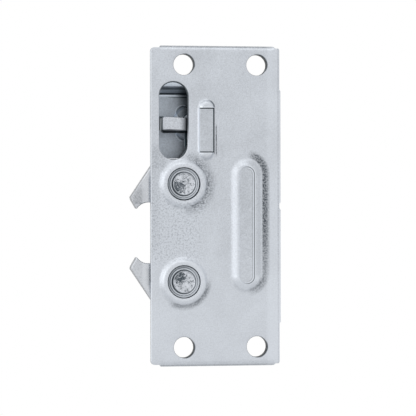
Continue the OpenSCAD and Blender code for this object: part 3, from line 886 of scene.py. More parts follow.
# Middles of two rings painted on the floor in the slot: a painted highlight round each, a little darker
# inside
PAINTED_RINGS = [(-14.0, 40.7), (-13.8, 31.8)]
FLOOR_MID = FLOOR + SHEET / 2
CASE_FOLD = Fold([(0, FLOOR_MID), (WALL_FLOOR, FLOOR_MID), (WALL_MOUTH, 1.5 * SHEET),
                  (CASE_HIGH[2], 1.5 * SHEET)], CASE_BEND)
WALL_FOLD = Fold([(0, FLOOR_MID), (CASE_X[1] - SHEET / 2, FLOOR_MID),
                  (CASE_X[1] - SHEET / 2, SHEET + 0.05)], CASE_BEND)


def case_rise(x, z, back=0.0):
    """How far the floor is pressed inwards: the lever's boss and a stiffening bead."""
    boss = LEVER_BOSS_H * ramp(distance(x, z, LEVER_AT) + back, LEVER_BOSS_FOOT, LEVER_BOSS_TOP)
    bead = BEAD_D * ramp(distance(x, z, BEAD_AT, BEAD_HALF) + back * 0.5, 4.6, 3.3)
    return np.maximum(boss, bead)


def case_place(x, z, s):
    """Bends the flat blank: s runs from the inner face to the outer face."""
    if abs(z) > CASE_FOLD.marks[0]:
        out = CASE_FOLD.at(abs(z), s - SHEET / 2)
        return x, out.y, math.copysign(out.x, z)
    if x > WALL_FOLD.marks[0]:
        out = WALL_FOLD.at(x, s - SHEET / 2)
        return out.x, out.y, z
    return x, FLOOR + s, z


def case_mesh():
    x0, x1 = CASE_X
    end, side = CASE_FOLD.length, WALL_FOLD.length
    bend_z, bend_x = CASE_FOLD.marks[0] - 0.3, WALL_FOLD.marks[0] - 0.3
    upper = [(side, bend_z + 0.2, 0.8), (bend_x, bend_z, 0), (x1, bend_z + 0.5, 0.4), (x1, end, 1.5),
             (x0, end, 1.5)]
    outline = rounded([(x, -z, r) for x, z, r in reversed(upper)] + upper)
    hole_z = end - (CASE_HIGH[2] - MOUNT_AT[-1][1])
    holes = [circle_loop((x, math.copysign(hole_z, z)), MOUNT_R, 64) for x, z in MOUNT_AT]
    plate = Plate([outline], holes, size("edge_r"), size("grid"))
    plate.add_bends([way * u for u in CASE_FOLD.marks for way in (-1, 1)], x0, x1)
    plate.add_bends(WALL_FOLD.marks, 0.1 - bend_z, bend_z - 0.1, upright=True)
    for r in (LEVER_BOSS_TOP, LEVER_BOSS_R - 0.1, LEVER_BOSS_FOOT):
        plate.add_loop(circle_loop(LEVER_AT, r))
    plate.fill([(LEVER_AT, 0, 0, 9, 0.55), (BEAD_AT, BEAD_HALF, 0, 5.4, 0.7)])
    return plate.mesh("case_pan", lambda x, z: -case_rise(x, z), lambda x, z: SHEET - case_rise(x, z, 0.8),
                      case_place)


# Claws: thick blanked plates with a lapped sync arm, drawn about their own pivot
HUB_R = 11.4
HUB_STEP = (HUB_R - 0.05, HUB_R + 0.02)
BORE_R = 6.06
NOSE_X, NOSE_Z = -22.45, -5.6
THROAT_AT, THROAT_R = (-14.8, -14.0), 6.05
EAR_R = 3.4
THIN = (CLAW_BACK - CLAW_FRONT + 0.4) / 2
SYNC_AT = (0, -HALF_GAP)
SYNC_R = 2.5
SYNC_EYE_R = 4.6
FORK_R = 6.0
FORK_SLOT = 3.0
CLAW_EDGE_R = 0.5
PIN_R = 2.0
SPRING_PIN_R = 1.5
DRIVE_ARM = DRIVE_AT - UPPER
# The lower claw is drawn upside down, so its spring pin is too
SPRING_ARM = Vector((SPRING_PIN_AT.x - LOWER.x, LOWER.y - SPRING_PIN_AT.y))


def tapered(b, ra, rb):
    """Outline of a straight arm with round ends, from the pivot to b."""
    along = Vector(b)
    turn = math.degrees(math.atan2(along.y, along.x))
    lean = math.degrees(math.asin((rb - ra) / along.length))
    return (arc_points((0, 0), ra, turn + 90 + lean, turn + 270 - lean, 24)
            + arc_points(b, rb, turn - 90 - lean, turn + 90 + lean, 24))


def hook_outline():
    """The nose with its throat, and the top of the hub; the hub's circle joins it."""
    floor_z = NOSE_Z - 5
    start = 180 - math.degrees(math.asin((floor_z - THROAT_AT[1]) / THROAT_R))
    throat = arc_points(THROAT_AT, THROAT_R, start, 90, 14)
    nose = [(NOSE_X, NOSE_Z), (NOSE_X + 0.35, NOSE_Z - 1.3), (throat[0][0] - 0.1, floor_z)]
    return rounded([(*p, 0.5) for p in nose] + [(*p, 0) for p in throat + [(-8, -8), (0, 0)]]
                   + [(-1.5, HUB_R - 0.12, 0), (-9.2, HUB_R - 0.1, 1.2), (-12.3, HUB_R - 1.85, 2.0)], 0.3)


def claw_mesh(name, at, flip, holes, arms, front, rear):
    hub = (0, 0)
    plate = Plate([hook_outline(), circle_loop(hub, HUB_R, 120)] + arms,
                  [circle_loop(hub, BORE_R)] + holes, CLAW_EDGE_R, size("grid"))
    for r in (HUB_R - 0.35, *HUB_STEP):
        plate.add_loop(circle_loop(hub, r, 120))
    plate.fill([(hub, 0, HUB_R - 1.6, HUB_R + 1.6, 0.8)])
    return plate.mesh(name, front, rear, lambda x, z, s: (at.x + x, s, at.y + flip * z))


def thinner(x, z):
    """What the sync arm lacks of the claw's thickness: nothing on the hub."""
    return THIN * ramp(np.hypot(x, z), *HUB_STEP) * (z < -4) * (x > -8.2)


def upper_claw_mesh():
    arms = [tapered(tuple(DRIVE_ARM), 7.5, EAR_R), tapered(SYNC_AT, 6.0, SYNC_EYE_R)]
    holes = [circle_loop(SYNC_AT, SYNC_R, 56), circle_loop(DRIVE_ARM, PIN_R, 48)]
    return claw_mesh("upper_claw_blank", UPPER, 1, holes, arms, CLAW_FRONT,
                     lambda x, z: CLAW_BACK - thinner(x, z))


def lower_claw_mesh():
    far = -HALF_GAP - 1.5 * FORK_R
    slot = arc_points(SYNC_AT, FORK_SLOT, 180, 0, 24) + [(FORK_SLOT, far), (-FORK_SLOT, far)]
    holes = [slot, circle_loop(SPRING_ARM, SPRING_PIN_R, 40)]
    return claw_mesh("lower_claw_blank", LOWER, -1, holes, [tapered(SYNC_AT, 7.5, FORK_R)],
                     lambda x, z: CLAW_FRONT + thinner(x, z), CLAW_BACK)


# Pins, rivets, bushes and washers, turned about their own axes
SHANK_R = 4.0
HEAD_FRONT_R = 5.0
DISH_R = 4.55
STEP_R = 6.0
JOURNAL_R = 6.0
RIVET_R = 2.5
RIVET_HEAD_R = 3.4
LEVER_BORE_R = RIVET_R + 0.06


def pivot_profile():
    """The pin from its dished and spun front head to its rear head."""
    front, back = PIN_FRONT, PIN_BACK
    seat = BUSH_FRONT + 0.45
    return eased([(0, front + 0.38), (1.5, front + 0.4), (3.6, front + 0.34), (DISH_R - 0.25, front + 0.4),
                  (DISH_R, front + 0.08), (DISH_R + 0.15, front), (HEAD_FRONT_R - 0.15, front + 0.1),
                  (HEAD_FRONT_R, front + 0.4), (HEAD_FRONT_R, seat), (SHANK_R, seat), (SHANK_R, back - 1.6),
                  (HEAD_R, back - 1.6), (HEAD_R, back - 0.7), (HEAD_R - 1, back), (0, back)], 0.2)


def bush_profile():
    """The collar's outer rim stands forward and dishes in to a flat ring round the head."""
    front, bore = BUSH_FRONT, SHANK_R + 0.05
    return eased([(bore, front + 0.45), (STEP_R - 0.1, front + 0.4), (STEP_R, front + 0.3),
                  (COLLAR_R - 0.25, front), (COLLAR_R, front + 0.2), (COLLAR_R, WASHER_FRONT),
                  (JOURNAL_R, WASHER_FRONT), (JOURNAL_R, BUSH_BACK), (bore, BUSH_BACK)], 0.1)


def ring_profile(node, bore):
    r, y0, y1 = cylinder(node)
    return eased([(bore, y0), (r, y0), (r, y1), (bore, y1)])


def bar_profile(node, chamfer=0.3):
    r, y0, y1 = cylinder(node)
    side = r - chamfer
    return eased([(0, y0), (side, y0), (r, y0 + chamfer), (r, y1 - chamfer), (side, y1), (0, y1)], 0.1)


def rivet_profile():
    _, y0, y1 = cylinder("lever_pivot_rivet")
    r, shank = RIVET_HEAD_R, RIVET_R
    inner = LEVER_BACK + 0.3 + SHEET
    return eased([(0, y0), (r - 0.8, y0), (r, y0 + 0.5), (r, y0 + 1), (shank, y0 + 1), (shank, inner),
                  (3.9, inner), (3.6, inner + 1), (0, y1)], 0.2)


# Release lever: a flat hub and fork, and a tab that steps forward behind the slot
LEVER_T = 2.0
LEVER_HUB_R = 5.0
TAB_AT = (LEVER_LOW[0] + 0.02, 35.55)
TAB_HALF = 3.1
TAB_TILT = -2.6
TAB_LIP = 4.5
TAB_WEB = 12.1
TAB_BEND = 0.7
TAB_SKIRT = 0.8
TAB_ROLL = 0.7
TAB_FRONT = LEVER_LOW[1]
FORK_DIR = (DRIVE_AT - LEVER_AT).normalized()
FORK_REACH = 16.5
FORK_HALF = PIN_R + 0.6
FORK_WALL = 2.2
FORK_ROOT = 4
EAR_X = (-10.0, -7.6)
EAR_Z = (29.8, 31.4)
EAR_FRONT, EAR_BACK = -1.8, 0.4


def fork_blank():
    """The flat hub and fork of the lever, with the slot left open at its end."""
    side = Vector((-FORK_DIR.y, FORK_DIR.x))
    end = LEVER_AT + FORK_DIR * FORK_REACH
    out = end + FORK_DIR * FORK_REACH
    root, wide, gap = side * FORK_ROOT, side * (FORK_HALF + FORK_WALL), side * FORK_HALF
    corners = ((LEVER_AT + root, 0), (LEVER_AT - root, 0), (end - wide, 0.8), (end + wide, 0.8))
    arm = rounded([(*corner, r) for corner, r in corners])
    turn = math.degrees(math.atan2(FORK_DIR.y, FORK_DIR.x))
    slot = arc_points(DRIVE_AT - FORK_DIR * 0.4, FORK_HALF, turn + 90, turn + 270, 24)
    slot += [tuple(out - gap), tuple(out + gap)]
    plate = Plate([circle_loop(LEVER_AT, LEVER_HUB_R, 80), arm],
                  [slot, circle_loop(LEVER_AT, LEVER_BORE_R, 56)], 0.3, size("grid"))
    plate.fill()
    return plate.mesh("lever_fork", LEVER_BACK - LEVER_T, LEVER_BACK)


def tab_blank():
    """The tab, drawn along its own line from the folded lip to the hub."""
    mid_front, mid_back = TAB_FRONT + LEVER_T / 2, LEVER_BACK - LEVER_T / 2
    start, web = LEVER_T / 2, TAB_WEB - LEVER_T / 2
    fold = Fold([(start, TAB_FRONT + TAB_LIP), (start, mid_front), (web, mid_front), (web, mid_back),
                 (LEVER_AT.x - TAB_AT[0] + 1.0, mid_back)], TAB_BEND)
    lip = TAB_LIP - TAB_BEND - 0.6
    low, high, end = -TAB_HALF, TAB_HALF, fold.length
    outline = [(0, low, 0.5), (lip - 0.4, low, 0.4), (lip + 0.4, low - TAB_SKIRT, 0.5),
               (lip + TAB_WEB - 1.5, low - 0.3, 0.5), (end, low, 0), (end, high, 0),
               (lip + 0.9, high, 0.8), (lip - 0.2, high - 0.6, 0.5), (0, high - 0.6, 0.5)]
    plate = Plate([rounded(outline)], [], 0.3, 1.0, step=0.6)
    plate.add_bends(fold.marks, low, high, upright=True, step=0.6)
    plate.fill()
    c, s = bearing(TAB_TILT)

    def place(u, w, depth):
        out = fold.at(u, LEVER_T / 2 - depth, 0.85 if u < TAB_WEB / 2 + TAB_LIP else 0.0)
        rolled = 1.3 * max(TAB_ROLL + low - w, 0.0) if lip < u < lip + TAB_WEB else 0.0
        return TAB_AT[0] + out.x * c - w * s, out.y + rolled, TAB_AT[1] + out.x * s + w * c
    return plate.mesh("lever_tab", 0.0, LEVER_T, place)


def ear_block():
    """The small lug that the return spring's moving leg pushes on."""
    root = LEVER_BACK - LEVER_T
    corners = [(EAR_X[i], EAR_Z[k], 0.2) for i, k in ((0, 0), (1, 0), (1, 1), (0, 1))]
    plate = Plate([rounded(corners, 0.1)], [], 0.15, 0.8, 0.4)
    plate.fill()
    return plate.mesh("lever_ear", root + EAR_FRONT, root + EAR_BACK)


# Springs and posts: geometry node trees grow them from lines or points
def node_tree(name, inputs, kinds, links, settings=(), values=()):
    """A tree with named inputs and nodes by key, linked as "key.socket > key.socket".
    It ends in Realize Instances and Set Material, which takes the finish."""
    tree = bpy.data.node_groups.new(name, "GeometryNodeTree")
    for label, kind in {**inputs, "Finish": "Material"}.items():
        tree.interface.new_socket(name=label, in_out="INPUT", socket_type="NodeSocket" + kind)
    tree.interface.new_socket(name="Grown", in_out="OUTPUT", socket_type="NodeSocketGeometry")
    kinds = {"real": "RealizeInstances", "paint": "SetMaterial", **kinds}
    nodes = {key: tree.nodes.new("GeometryNode" + kind) for key, kind in kinds.items()}
    nodes["given"], nodes["result"] = tree.nodes.new("NodeGroupInput"), tree.nodes.new("NodeGroupOutput")
    for key, setting, value in settings:
        setattr(nodes[key], setting, value)
    for key, socket, value in values:
        nodes[key].inputs[socket].default_value = value
    links += ["real.Geometry > paint.Geometry", "given.Finish > paint.Material",
              "paint.Geometry > result.Grown"]
    for line in links:
        (source, out), (target, into) = (end.split(".") for end in line.split(" > "))
        tree.links.new(nodes[source].outputs[out], nodes[target].inputs[into])
    return tree


def wire_tree():
    """Line of points in, wire out, with the wire's radius, sides and finish as inputs."""
    return node_tree(
        "LatchWire", {"Line": "Geometry", "Wire radius": "Float", "Sides": "Int"},
        {"curve": "MeshToCurve", "ring": "CurvePrimitiveCircle", "sweep": "CurveToMesh",
         "smooth": "SetShadeSmooth"},
        ["given.Line > curve.Mesh", "given.Wire radius > ring.Radius", "given.Sides > ring.Resolution",
         "curve.Curve > sweep.Curve", "ring.Curve > sweep.Profile Curve", "sweep.Mesh > smooth.Geometry",
         "smooth.Geometry > real.Geometry"], values=[("sweep", "Fill Caps", True)])


def post_tree():
    """Points in, a copy of the model at each, as large as its point's stretch attribute says."""
    return node_tree(
        "LatchPosts", {"Places": "Geometry", "Post": "Object"},
        {"model": "ObjectInfo", "seeds": "InstanceOnPoints", "stretch": "InputNamedAttribute"},
        ["stretch.Attribute > seeds.Scale", "given.Post > model.Object", "given.Places > seeds.Points",
         "model.Geometry > seeds.Instance", "seeds.Instances > real.Geometry"],
        [("stretch", "data_type", "FLOAT_VECTOR")], [("stretch", "Name", "stretch")])


def grown(name, co, edges, tree, values, stretch=()):
    """Runs a node tree on points (and edges) in millimetres and keeps the result as a plain mesh."""
    mesh = raw_mesh(name + "_line", co, edges, [])
    if stretch:
        mesh.attributes.new("stretch", "FLOAT_VECTOR", "POINT").data.foreach_set("vector", np.ravel(stretch))
    source = link(name + "_line", mesh)
    mod = source.modifiers.new("grow", "NODES")
    mod.node_group = tree
    for item in tree.interface.items_tree:
        if item.in_out == "INPUT" and item.name in values:
            mod[item.identifier] = values[item.name]
    graph = bpy.context.evaluated_depsgraph_get()
    result = bpy.data.meshes.new_from_object(source.evaluated_get(graph), preserve_all_data_layers=True,
                                             depsgraph=graph)
    bpy.data.objects.remove(source)
    return link(name, smoothed(result, GROWN_DEGREES))


COIL_DEGREES = 10
LEG_STEPS = 6


def coil_line(r, a0, a1, y0, y1, leg0, leg1):
    """A torsion spring's centre line: a straight leg, turns from angle a0 to a1, a straight leg."""
    way = math.copysign(1, a1 - a0)
    steps = math.ceil(abs(a1 - a0) / COIL_DEGREES)
    turns = []
    for share in (i / steps for i in range(steps + 1)):
        c, s = bearing(a0 + (a1 - a0) * share)
        turns.append((r * c, y0 + (y1 - y0) * share, r * s))

    def leg(foot, angle, reach):
        c, s = bearing(angle)
        shares = [reach * k / LEG_STEPS for k in range(1, LEG_STEPS + 1)]
        return [(foot[0] - s * along, foot[1], foot[2] + c * along) for along in shares]
    return leg(turns[0], a0, -way * leg0)[::-1] + turns + leg(turns[-1], a1, way * leg1)


COIL_R = JOURNAL_R + 0.25
COIL_CLEAR = 0.45
FIXED_LEG = 18.0
LEAST_PITCH = 1.45
LEVER_COIL_CLEAR = 0.7
LEVER_COIL_DEPTH = 1.25 * 2.75
LEVER_LEGS = (12.0, 6.0)
# The model's coils have flat sides, so their corners reach out further than round wire
COIL_WIDER = 1 / math.cos(math.pi / 8)


def add_spring(name, node, at, flip, line, wire, sides, tree, steel):
    """A coil swept along its centre line in one pose: a fixed leg, turns, and a moving leg that reaches what
    it pushes.
    """
    co = [(at.x + x, y, at.y + flip * z) for x, y, z in line]
    edges = [(i, i + 1) for i in range(len(co) - 1)]
    coil = grown(name, co, edges, tree, {"Wire radius": wire / 2 * MM, "Sides": sides, "Finish": steel})
    wear(coil, None, "spring_wire", [node], steel)
    start, end = ((at.x * MM, y * MM, at.y * MM) for y in (co[0][1] + wire / 2, co[-1][1] - wire / 2))
    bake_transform(coil)
    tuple(start)
    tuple(end)


def claw_coil(arm, pin_r, wire):
    """A claw's spring: its fixed leg lies on the post and its moving leg pushes the pin at the arm."""
    r = (COIL_R + wire / 2) * COIL_WIDER
    y0 = CLAW_BACK + COIL_CLEAR + wire / 2
    y1 = FLOOR - COIL_CLEAR - wire / 2
    off = r - pin_r - wire / 2 - 0.1
    leg = math.degrees(math.atan2(arm.y, arm.x) + math.asin(off / arm.length)) - 90
    part = (leg - 90) / 360
    turns = math.floor((y1 - y0) / LEAST_PITCH - part) + part
    return coil_line(r, 90, 90 + 360 * turns, y0, y1, FIXED_LEG, arm.length + 0.8)


def lever_coil(wire):
    r = (RIVET_R + 0.3 + wire / 2) * COIL_WIDER
    y1 = LEVER_BACK - LEVER_T - LEVER_COIL_CLEAR - wire / 2
    return coil_line(r, -90, -90 - 990, y1 - LEVER_COIL_DEPTH, y1, *LEVER_LEGS)


# Posts: one bar and one rivet head, placed again and again
POST_R = 2.0
STOP_POST_R = 1.8
TAIL_R = 1.4
POSTS = ["upper_spring_post", "lower_spring_post", "lever_spring_post", "stop_post"]


def posts_mesh(tree, material):
    """The posts' bars, stretched to their lengths, and their rivet heads behind the case."""
    top = box_mm(POSTS[0])[1][1] - CASE_HIGH[1]
    bar = eased([(0, 0), (0.86, 0), (1, 0.06), (1, 1), (0, 1)], 0.03)
    head = eased([(0, -0.3), (TAIL_R, -0.3), (TAIL_R, 0), (TAIL_R + 0.8, 0), (TAIL_R + 0.6, top - 0.2),
                  (0.6, top), (0, top)], 0.2)
    feet, stretch, tails = [], [], []
    for node in POSTS:
        front = box_mm(node)[0][1]
        at = middle(node)
        r = STOP_POST_R if node == "stop_post" else POST_R
        feet.append((at.x, front, at.y))
        stretch.append((r, FLOOR - front, r))
        tails.append((at.x, CASE_HIGH[1], at.y))
    parts = []
    whole = [(1, 1, 1)] * len(POSTS)
    for name, profile, places, sizes in (("bars", bar, feet, stretch), ("heads", head, tails, whole)):
        model = turned_piece("post_" + name, (0, 0), profile, 48)
        parts.append(grown("posts_" + name, places, [], tree, {"Post": model, "Finish": material}, sizes))
        bpy.data.objects.remove(model)
    return joined("riveted_posts", parts)


def buffer_profile():
    """A rubber sleeve, waisted halfway up."""
    r, y0, y1 = cylinder("stop_buffer")
    mid = (y0 + y1) / 2
    bore, waist, end = STOP_POST_R + 0.03, r - 0.35, r - 0.5
    side = r - 0.05
    return eased([(bore, y0), (end, y0), (side, y0 + 0.5), (side, mid - 1.2), (waist, mid - 0.6),
                  (waist, mid + 0.6), (side, mid + 1.2), (side, y1 - 0.5), (end, y1), (bore, y1)], 0.3)


# Marks: where the sheets are pitted, matt, burnished, darker or lighter, and where painted shade and painted
# highlights go, in millimetres
def strokes(table):
    """Lines added up. A row holds a distance with its (from, to, soft edge), what the line fades in
    along with its (from, to), and a weight."""
    return sum(far.window(low, high, soft) * along.ramp(zero, one) * weight
               for far, low, high, soft, along, zero, one, weight in table)


def boss_marks(f):
    """Pits with painted shade right of the upper boss and low on the right of the lower one, a matt grain on
    the plate's left part and right of the upper boss, and a painted highlight on both bosses' shoulders.
    """
    upper, lower = f.reach(UPPER), f.reach(LOWER)
    spread = upper.ramp(9.3, 10.4) * upper.ramp(15.5, 10.6) * (f.x - UPPER.x).ramp(-1.5, 6.0)
    low_right = ((f.x - LOWER.x) * 0.55 - (f.z - LOWER.y)).ramp(4.5, 9.5)
    between = f.z.window(-22.0, 0.0, 7.0) + f.z.window(0.0, 22.0, 5.0) * 0.5
    return {"crust": spread * 0.85 + lower.ramp(9.5, 10.2) * lower.ramp(12.8, 10.7) * low_right * 1.4,
            "frost": f.x.window(-32.0, -12.0, 7.0) * between + spread * 0.9,
            "shine": (upper.window(7.2, 9.4, 0.7) + lower.window(7.2, 9.0, 0.7)) * 0.4}


def rib_marks(f):
    """Lines of painted highlight and painted shade round the rib's flat top and its lower end, heavier on its
    right, painted shade down its right flank, a darker flat top, and pits with painted shade beside its right
    foot.
    """
    rib = f.reach(RIB_AT, RIB_HALF)
    side = f.x - RIB_AT[0]
    below = RIB_AT[1] - RIB_HALF - f.z
    edge = RIB_LINE
    shine = strokes([(rib, edge + 0.2, edge + 0.5, 0.15, side, -0.5, 1.5, 1.0),
                     (rib, edge - 0.65, edge - 0.3, 0.12, side, -0.5, 1.5, 1.0),
                     (rib, edge + 0.15, edge + 2.0, 0.6, below, -1.0, 2.0, 1.4),
                     (rib, edge + 0.1, edge + 2.6, 0.2, side, -1.0, -3.0, 0.2)])
    grime = strokes([(rib, edge - 0.15, edge + 0.1, 0.12, side, -2.5, 2.0, 0.75),
                     (rib, edge - 1.05, edge - 0.9, 0.12, side, -1.0, 1.5, 0.3),
                     (rib, edge + 0.9, 6.2, 0.4, side, 0.0, 2.0, 0.045)])
    # The flat top is a little darker, most in the middle; it goes in with the painted shade
    top = rib.ramp(edge + 0.1, edge - 0.1) * (f.z.window(-12.0, 10.0, 10.0) * 0.04 + 0.03)
    # Pits with painted shade in a band beside the rib's right foot, heavier towards its top, and a short
    # stretch by its lower end
    band = f.reach((RIB_AT[0], RIB_AT[1] + 0.7), RIB_HALF - 0.7)
    crust = band.ramp(6.8, 7.6) * band.ramp(10.9, 8.9) * side.ramp(0.0, 5.5)
    crust = crust * (f.z.ramp(-32.0, -5.0) * 0.5 + 1.0)
    low_pits_and_shade = band.window(6.8, 7.8, 0.8) * f.z.window(-36.0, -32.0, 2.0) * side.ramp(0.0, 2.0) * 0.6
    return {"shine": shine, "grime": grime + top, "crust": crust + low_pits_and_shade}


def strap_marks(f):
    """Painted shade in the strap's creases, along its right side, a little over its flat and round the right
    of the upper dome's edge; painted highlights along its left side, on the lips beyond its ends and over the
    domes; and pits with a painted shadow in a thin line beside its right side.
    """
    dx = f.x - STRAP_X
    dz = f.z.away(STRAP_Z)
    off, end = dx.away(), STRAP_H
    crust = dx.window(4.15, 4.4, 0.2) * f.z.window(23.5, 33.0, 3.0) * 1.4
    dome = f.reach((STRAP_X, STRAP_Z + end)).window(3.1, 3.6, 0.25)
    grime = strokes([(dz, end - 0.4, end - 0.08, 0.12, off, 3.2, 2.9, 0.75),
                     (dx, 2.85, 3.4, 0.15, dz, end, end - 0.1, 1.0)])
    grime = dome * dx.ramp(0.6, 2.2) * (f.z - STRAP_Z - end).ramp(0.0, 0.6) * 0.7 + grime
    grime = off.ramp(3.1, 2.7) * dz.ramp(end, end - 0.1) * 0.1 + grime
    shine = strokes([(dx, -3.75, -3.0, 0.12, dz, end, end - 0.1, 1.0),
                     (dz, end + 0.05, end + 0.5, 0.15, off, 3.4, 2.9, 1.0),
                     (dz, end + 0.1, end + 2.6, 0.5, off, 3.4, 2.9, 0.35)])
    return {"grime": grime, "shine": shine, "crust": crust}


def edge_marks(f):
    """Pits with painted shade on the end bends, along the right edge, left of the upper pivot and towards the
    left edge; painted highlights along the left edge, lighter towards the bottom and at the right; and
    painted shade on the end bends and round the rims of the slot and the mounting holes, heavier on the
    slot's upper right and on the holes' outer sides.
    """
    x0, x1 = PLATE_X
    up, mount = f.z.away(), f.from_mounts()
    crust = strokes([(up, PLATE_Z + 0.15, PLATE_Z + 0.8, 0.25, f.x.away((x0 + x1) / 2, 22.0), 3.5, 2.5, 0.5)])
    crust = f.x.window(x1 - 0.75, x1 - 0.5, 0.2) * 0.6 + crust
    crust = (f.x - UPPER.x).window(-13.0, -9.0, 2.5) * f.z.window(18.0, 24.0, 4.0) * 0.35 + crust
    crust = f.x.ramp(-25.0, -30.2) * f.z.window(-16.0, 12.0, 8.0) * 0.22 + crust
    shine = f.z.ramp(-5.0, -48.0) * 0.5 + f.x.ramp(19.5, 21.5) * 0.4 + f.x.ramp(x0 + 0.6, x0 + 0.35) * 0.7
    slot = f.reach(SLOT_AT, SLOT_HALF)
    slot_side = f.x + f.z * 0.7 - SLOT_AT[0] - SLOT_AT[1] * 0.7
    hole_side = (f.x.away() - MOUNT_AT[-1][0]) * f.x.maths("SIGN") + (up - MOUNT_AT[-1][1]) * 0.6
    grime = strokes([(slot, SLOT_R - 0.3, SLOT_R + 0.4, 0.12, slot_side, -1.0, 6.0, 0.9),
                     (mount, MOUNT_R - 0.3, MOUNT_R + 0.38, 0.12, hole_side, 1.5, 4.8, 0.6)])
    grime = mount.window(MOUNT_R - 0.3, MOUNT_R + 0.12, 0.1) * 0.6 + grime
    return {"crust": crust, "shine": shine, "grime": up.ramp(PLATE_Z - 0.1, PLATE_Z + 0.3) * 0.12 + grime}


def cover_marks(f):
    parts = [marks(f) for marks in (boss_marks, rib_marks, strap_marks, edge_marks)]
    total = {key: sum(part.get(key, 0.0) for part in parts) for key in MASKS}
    return {**total, "frost": total["frost"].clamp(), "shine": total["shine"].clamp()}


# Painted shade on the cut walls in and by the mounting holes and the slot
def shaded_hole_walls(f):
    slot = f.reach(SLOT_AT, SLOT_HALF)
    return f.from_mounts().ramp(MOUNT_R + 0.8, MOUNT_R + 0.3) + slot.ramp(SLOT_R + 0.8, SLOT_R + 0.3)


def case_marks(f):
    """Painted shade in the case's corners, its mouth, round its holes, inside the lever's boss, beside the
    tab and towards the right of the floor in the slot; painted highlights on the flange's front face, along a
    line by the corners and on the boss's rim; a matt grain on the deeper parts; and two painted rings on the
    floor in the slot.
    """
    z = f.z.away()
    inner = f.y.ramp(FLOOR + 0.6, FLOOR + 0.3)
    light = z.window(CORNER_Z - 0.95, CORNER_Z - 0.6, 0.2)
    shade = f.x.ramp(-17.5, -11.6) * f.y.ramp(4.5, 6.0) * (f.z.ramp(31.0, 40.0) * 0.35 + 0.5)
    boss = f.reach(LEVER_AT)
    rim = boss.window(LEVER_BOSS_R - 0.1, LEVER_BOSS_R + 0.25, 0.15)
    fade = boss.ramp(LEVER_BOSS_R - 0.2, LEVER_BOSS_R - 1.5) * 0.12
    mouth = z.window(50.2, 53.0, 0.5) * f.y.window(4.4, 6.4, 1.0) * 0.75
    # A painted shadow on the floor to the left of the tab
    tab_shadow = f.x.window(-24.4, -22.6, 0.3) * f.z.window(33.2, 39.0, 0.4) * f.y.ramp(FLOOR - 1.0, FLOOR) * 0.85
    # Two painted rings on the floor: bright outlines that break the painted shade, a little darker inside
    bosses = [f.reach(at) for at in PAINTED_RINGS]
    outline = sum(far.window(3.2, 3.5, 0.15) for far in bosses)
    within = sum(far.window(2.6, 2.9, 0.3) for far in bosses) * 0.3
    holes = f.from_mounts().ramp(MOUNT_R + 0.5, MOUNT_R + 0.3) * 0.9
    corners = strokes([(z, CORNER_Z - 0.25, CORNER_Z + 0.3, 0.2, f.y, FLOOR - 3.5, FLOOR - 2.5, 0.85),
                       (z, CORNER_Z - 1.6, CORNER_Z - 1.4, 0.15, f.x, -22.0, -17.0, 0.6)])
    dark = corners + shade * (1 - outline * 0.9) + within + fade + mouth + tab_shadow + holes
    return {"shine": f.y.ramp(3.4, 2.6) * 1.6 + rim * 0.5 + (light + outline * inner) * 1.4,
            "frost": f.y.ramp(4.0, 6.0) * 0.35, "grime": dark.clamp() * inner}


def upper_claw_marks(f):
    """Where the claw shows at the slot's lower end it gets painted shade, broken by a thin painted highlight
    on its hub's top edge; the hook has a matt grain and a painted highlight at its tip, a painted highlight
    by the plate's left edge, and mottled pits.
    """
    tip = f.x.ramp(-30.0, -36.0)
    mottle = f.x.window(-36.5, -33.0, 1.5) * f.z.window(1.5, 6.5, 2.5)
    return {"frost": tip * 0.8, "crust": mottle * 0.4,
            "grime": (f.z.window(18.0, 20.28, 0.08) + f.z.ramp(20.6, 20.8)) * 0.9,
            "shine": (f.z.window(20.36, 20.5, 0.06) * 1.6 + f.z.ramp(1.2, 0.6) * tip * 0.6
                      + f.x.window(-33.0, -30.0, 1.5))}


def lower_claw_marks(f):
    """The hook's tip has a matt grain, a painted highlight and a few pits on its upper part; there is a
    painted highlight by the plate's left edge and painted shade where the hook comes out from under the
    plate.
    """
    tip = f.x.ramp(-30.0, -36.0)
    return {"frost": tip, "shine": tip * 0.8 + f.x.window(-33.0, -30.0, 1.5),
            "crust": f.z.ramp(-29.0, -26.0) * tip * 0.2,
            "grime": f.x.ramp(-32.6, -31.0) * f.z.window(-33.0, -28.0, 2.0) * 0.15}


def lever_marks(f):
    """Painted shade on the tab's turned sides and lower edge, across its face towards the right, and on the
    lever's parts further back; a matt grain on its front parts.
    """
    x, z = TAB_AT
    sides = f.x.ramp(x + 0.85, x + 0.35)
    rise = f.z - z - (f.x - x) * math.tan(math.radians(TAB_TILT))
    lower = rise.ramp(TAB_ROLL - TAB_HALF, TAB_ROLL - TAB_HALF - 0.5)
    turned = (sides + lower).clamp() * f.y.ramp(TAB_FRONT + 5.0, TAB_FRONT + 4.0) * 0.9
    right = f.x.ramp(x + 7.5, x + 11.2) * 0.75
    back = f.y.ramp(TAB_FRONT + 4.0, TAB_FRONT + 5.0) * 0.6
    return {"grime": (turned + right + back).clamp(), "frost": f.y.ramp(4.0, 3.0) * 0.35}


def add_sheet(mesh, kind, node, tint, rough, marks):
    """A pressed sheet in zinc, with painted shade on the walls of its holes."""
    wear(mesh, BODY_CASE, kind, [node], zinc(kind, colour(tint), rough, marks),
         sheared_edge(kind + "_edge", colour(tint), shaded_hole_walls))


def add_turned(name, at, profile, node, slot, steel, body=BODY_CASE, segments=96):
    wear(turned_piece(name, at, profile, segments), body, slot, [node], steel)


class LATCH_OT_cover(bpy.types.Operator):
    """Front cover: pressed plate with bosses, rib, strap, slot and bent tabs"""
    bl_idname = "latch.cover"
    bl_label = "Front cover"

    def execute(self, context):
        add_sheet(cover_mesh(), "zinc_sheet", "front_cover", "plate", 0.42, cover_marks)
        return {"FINISHED"}


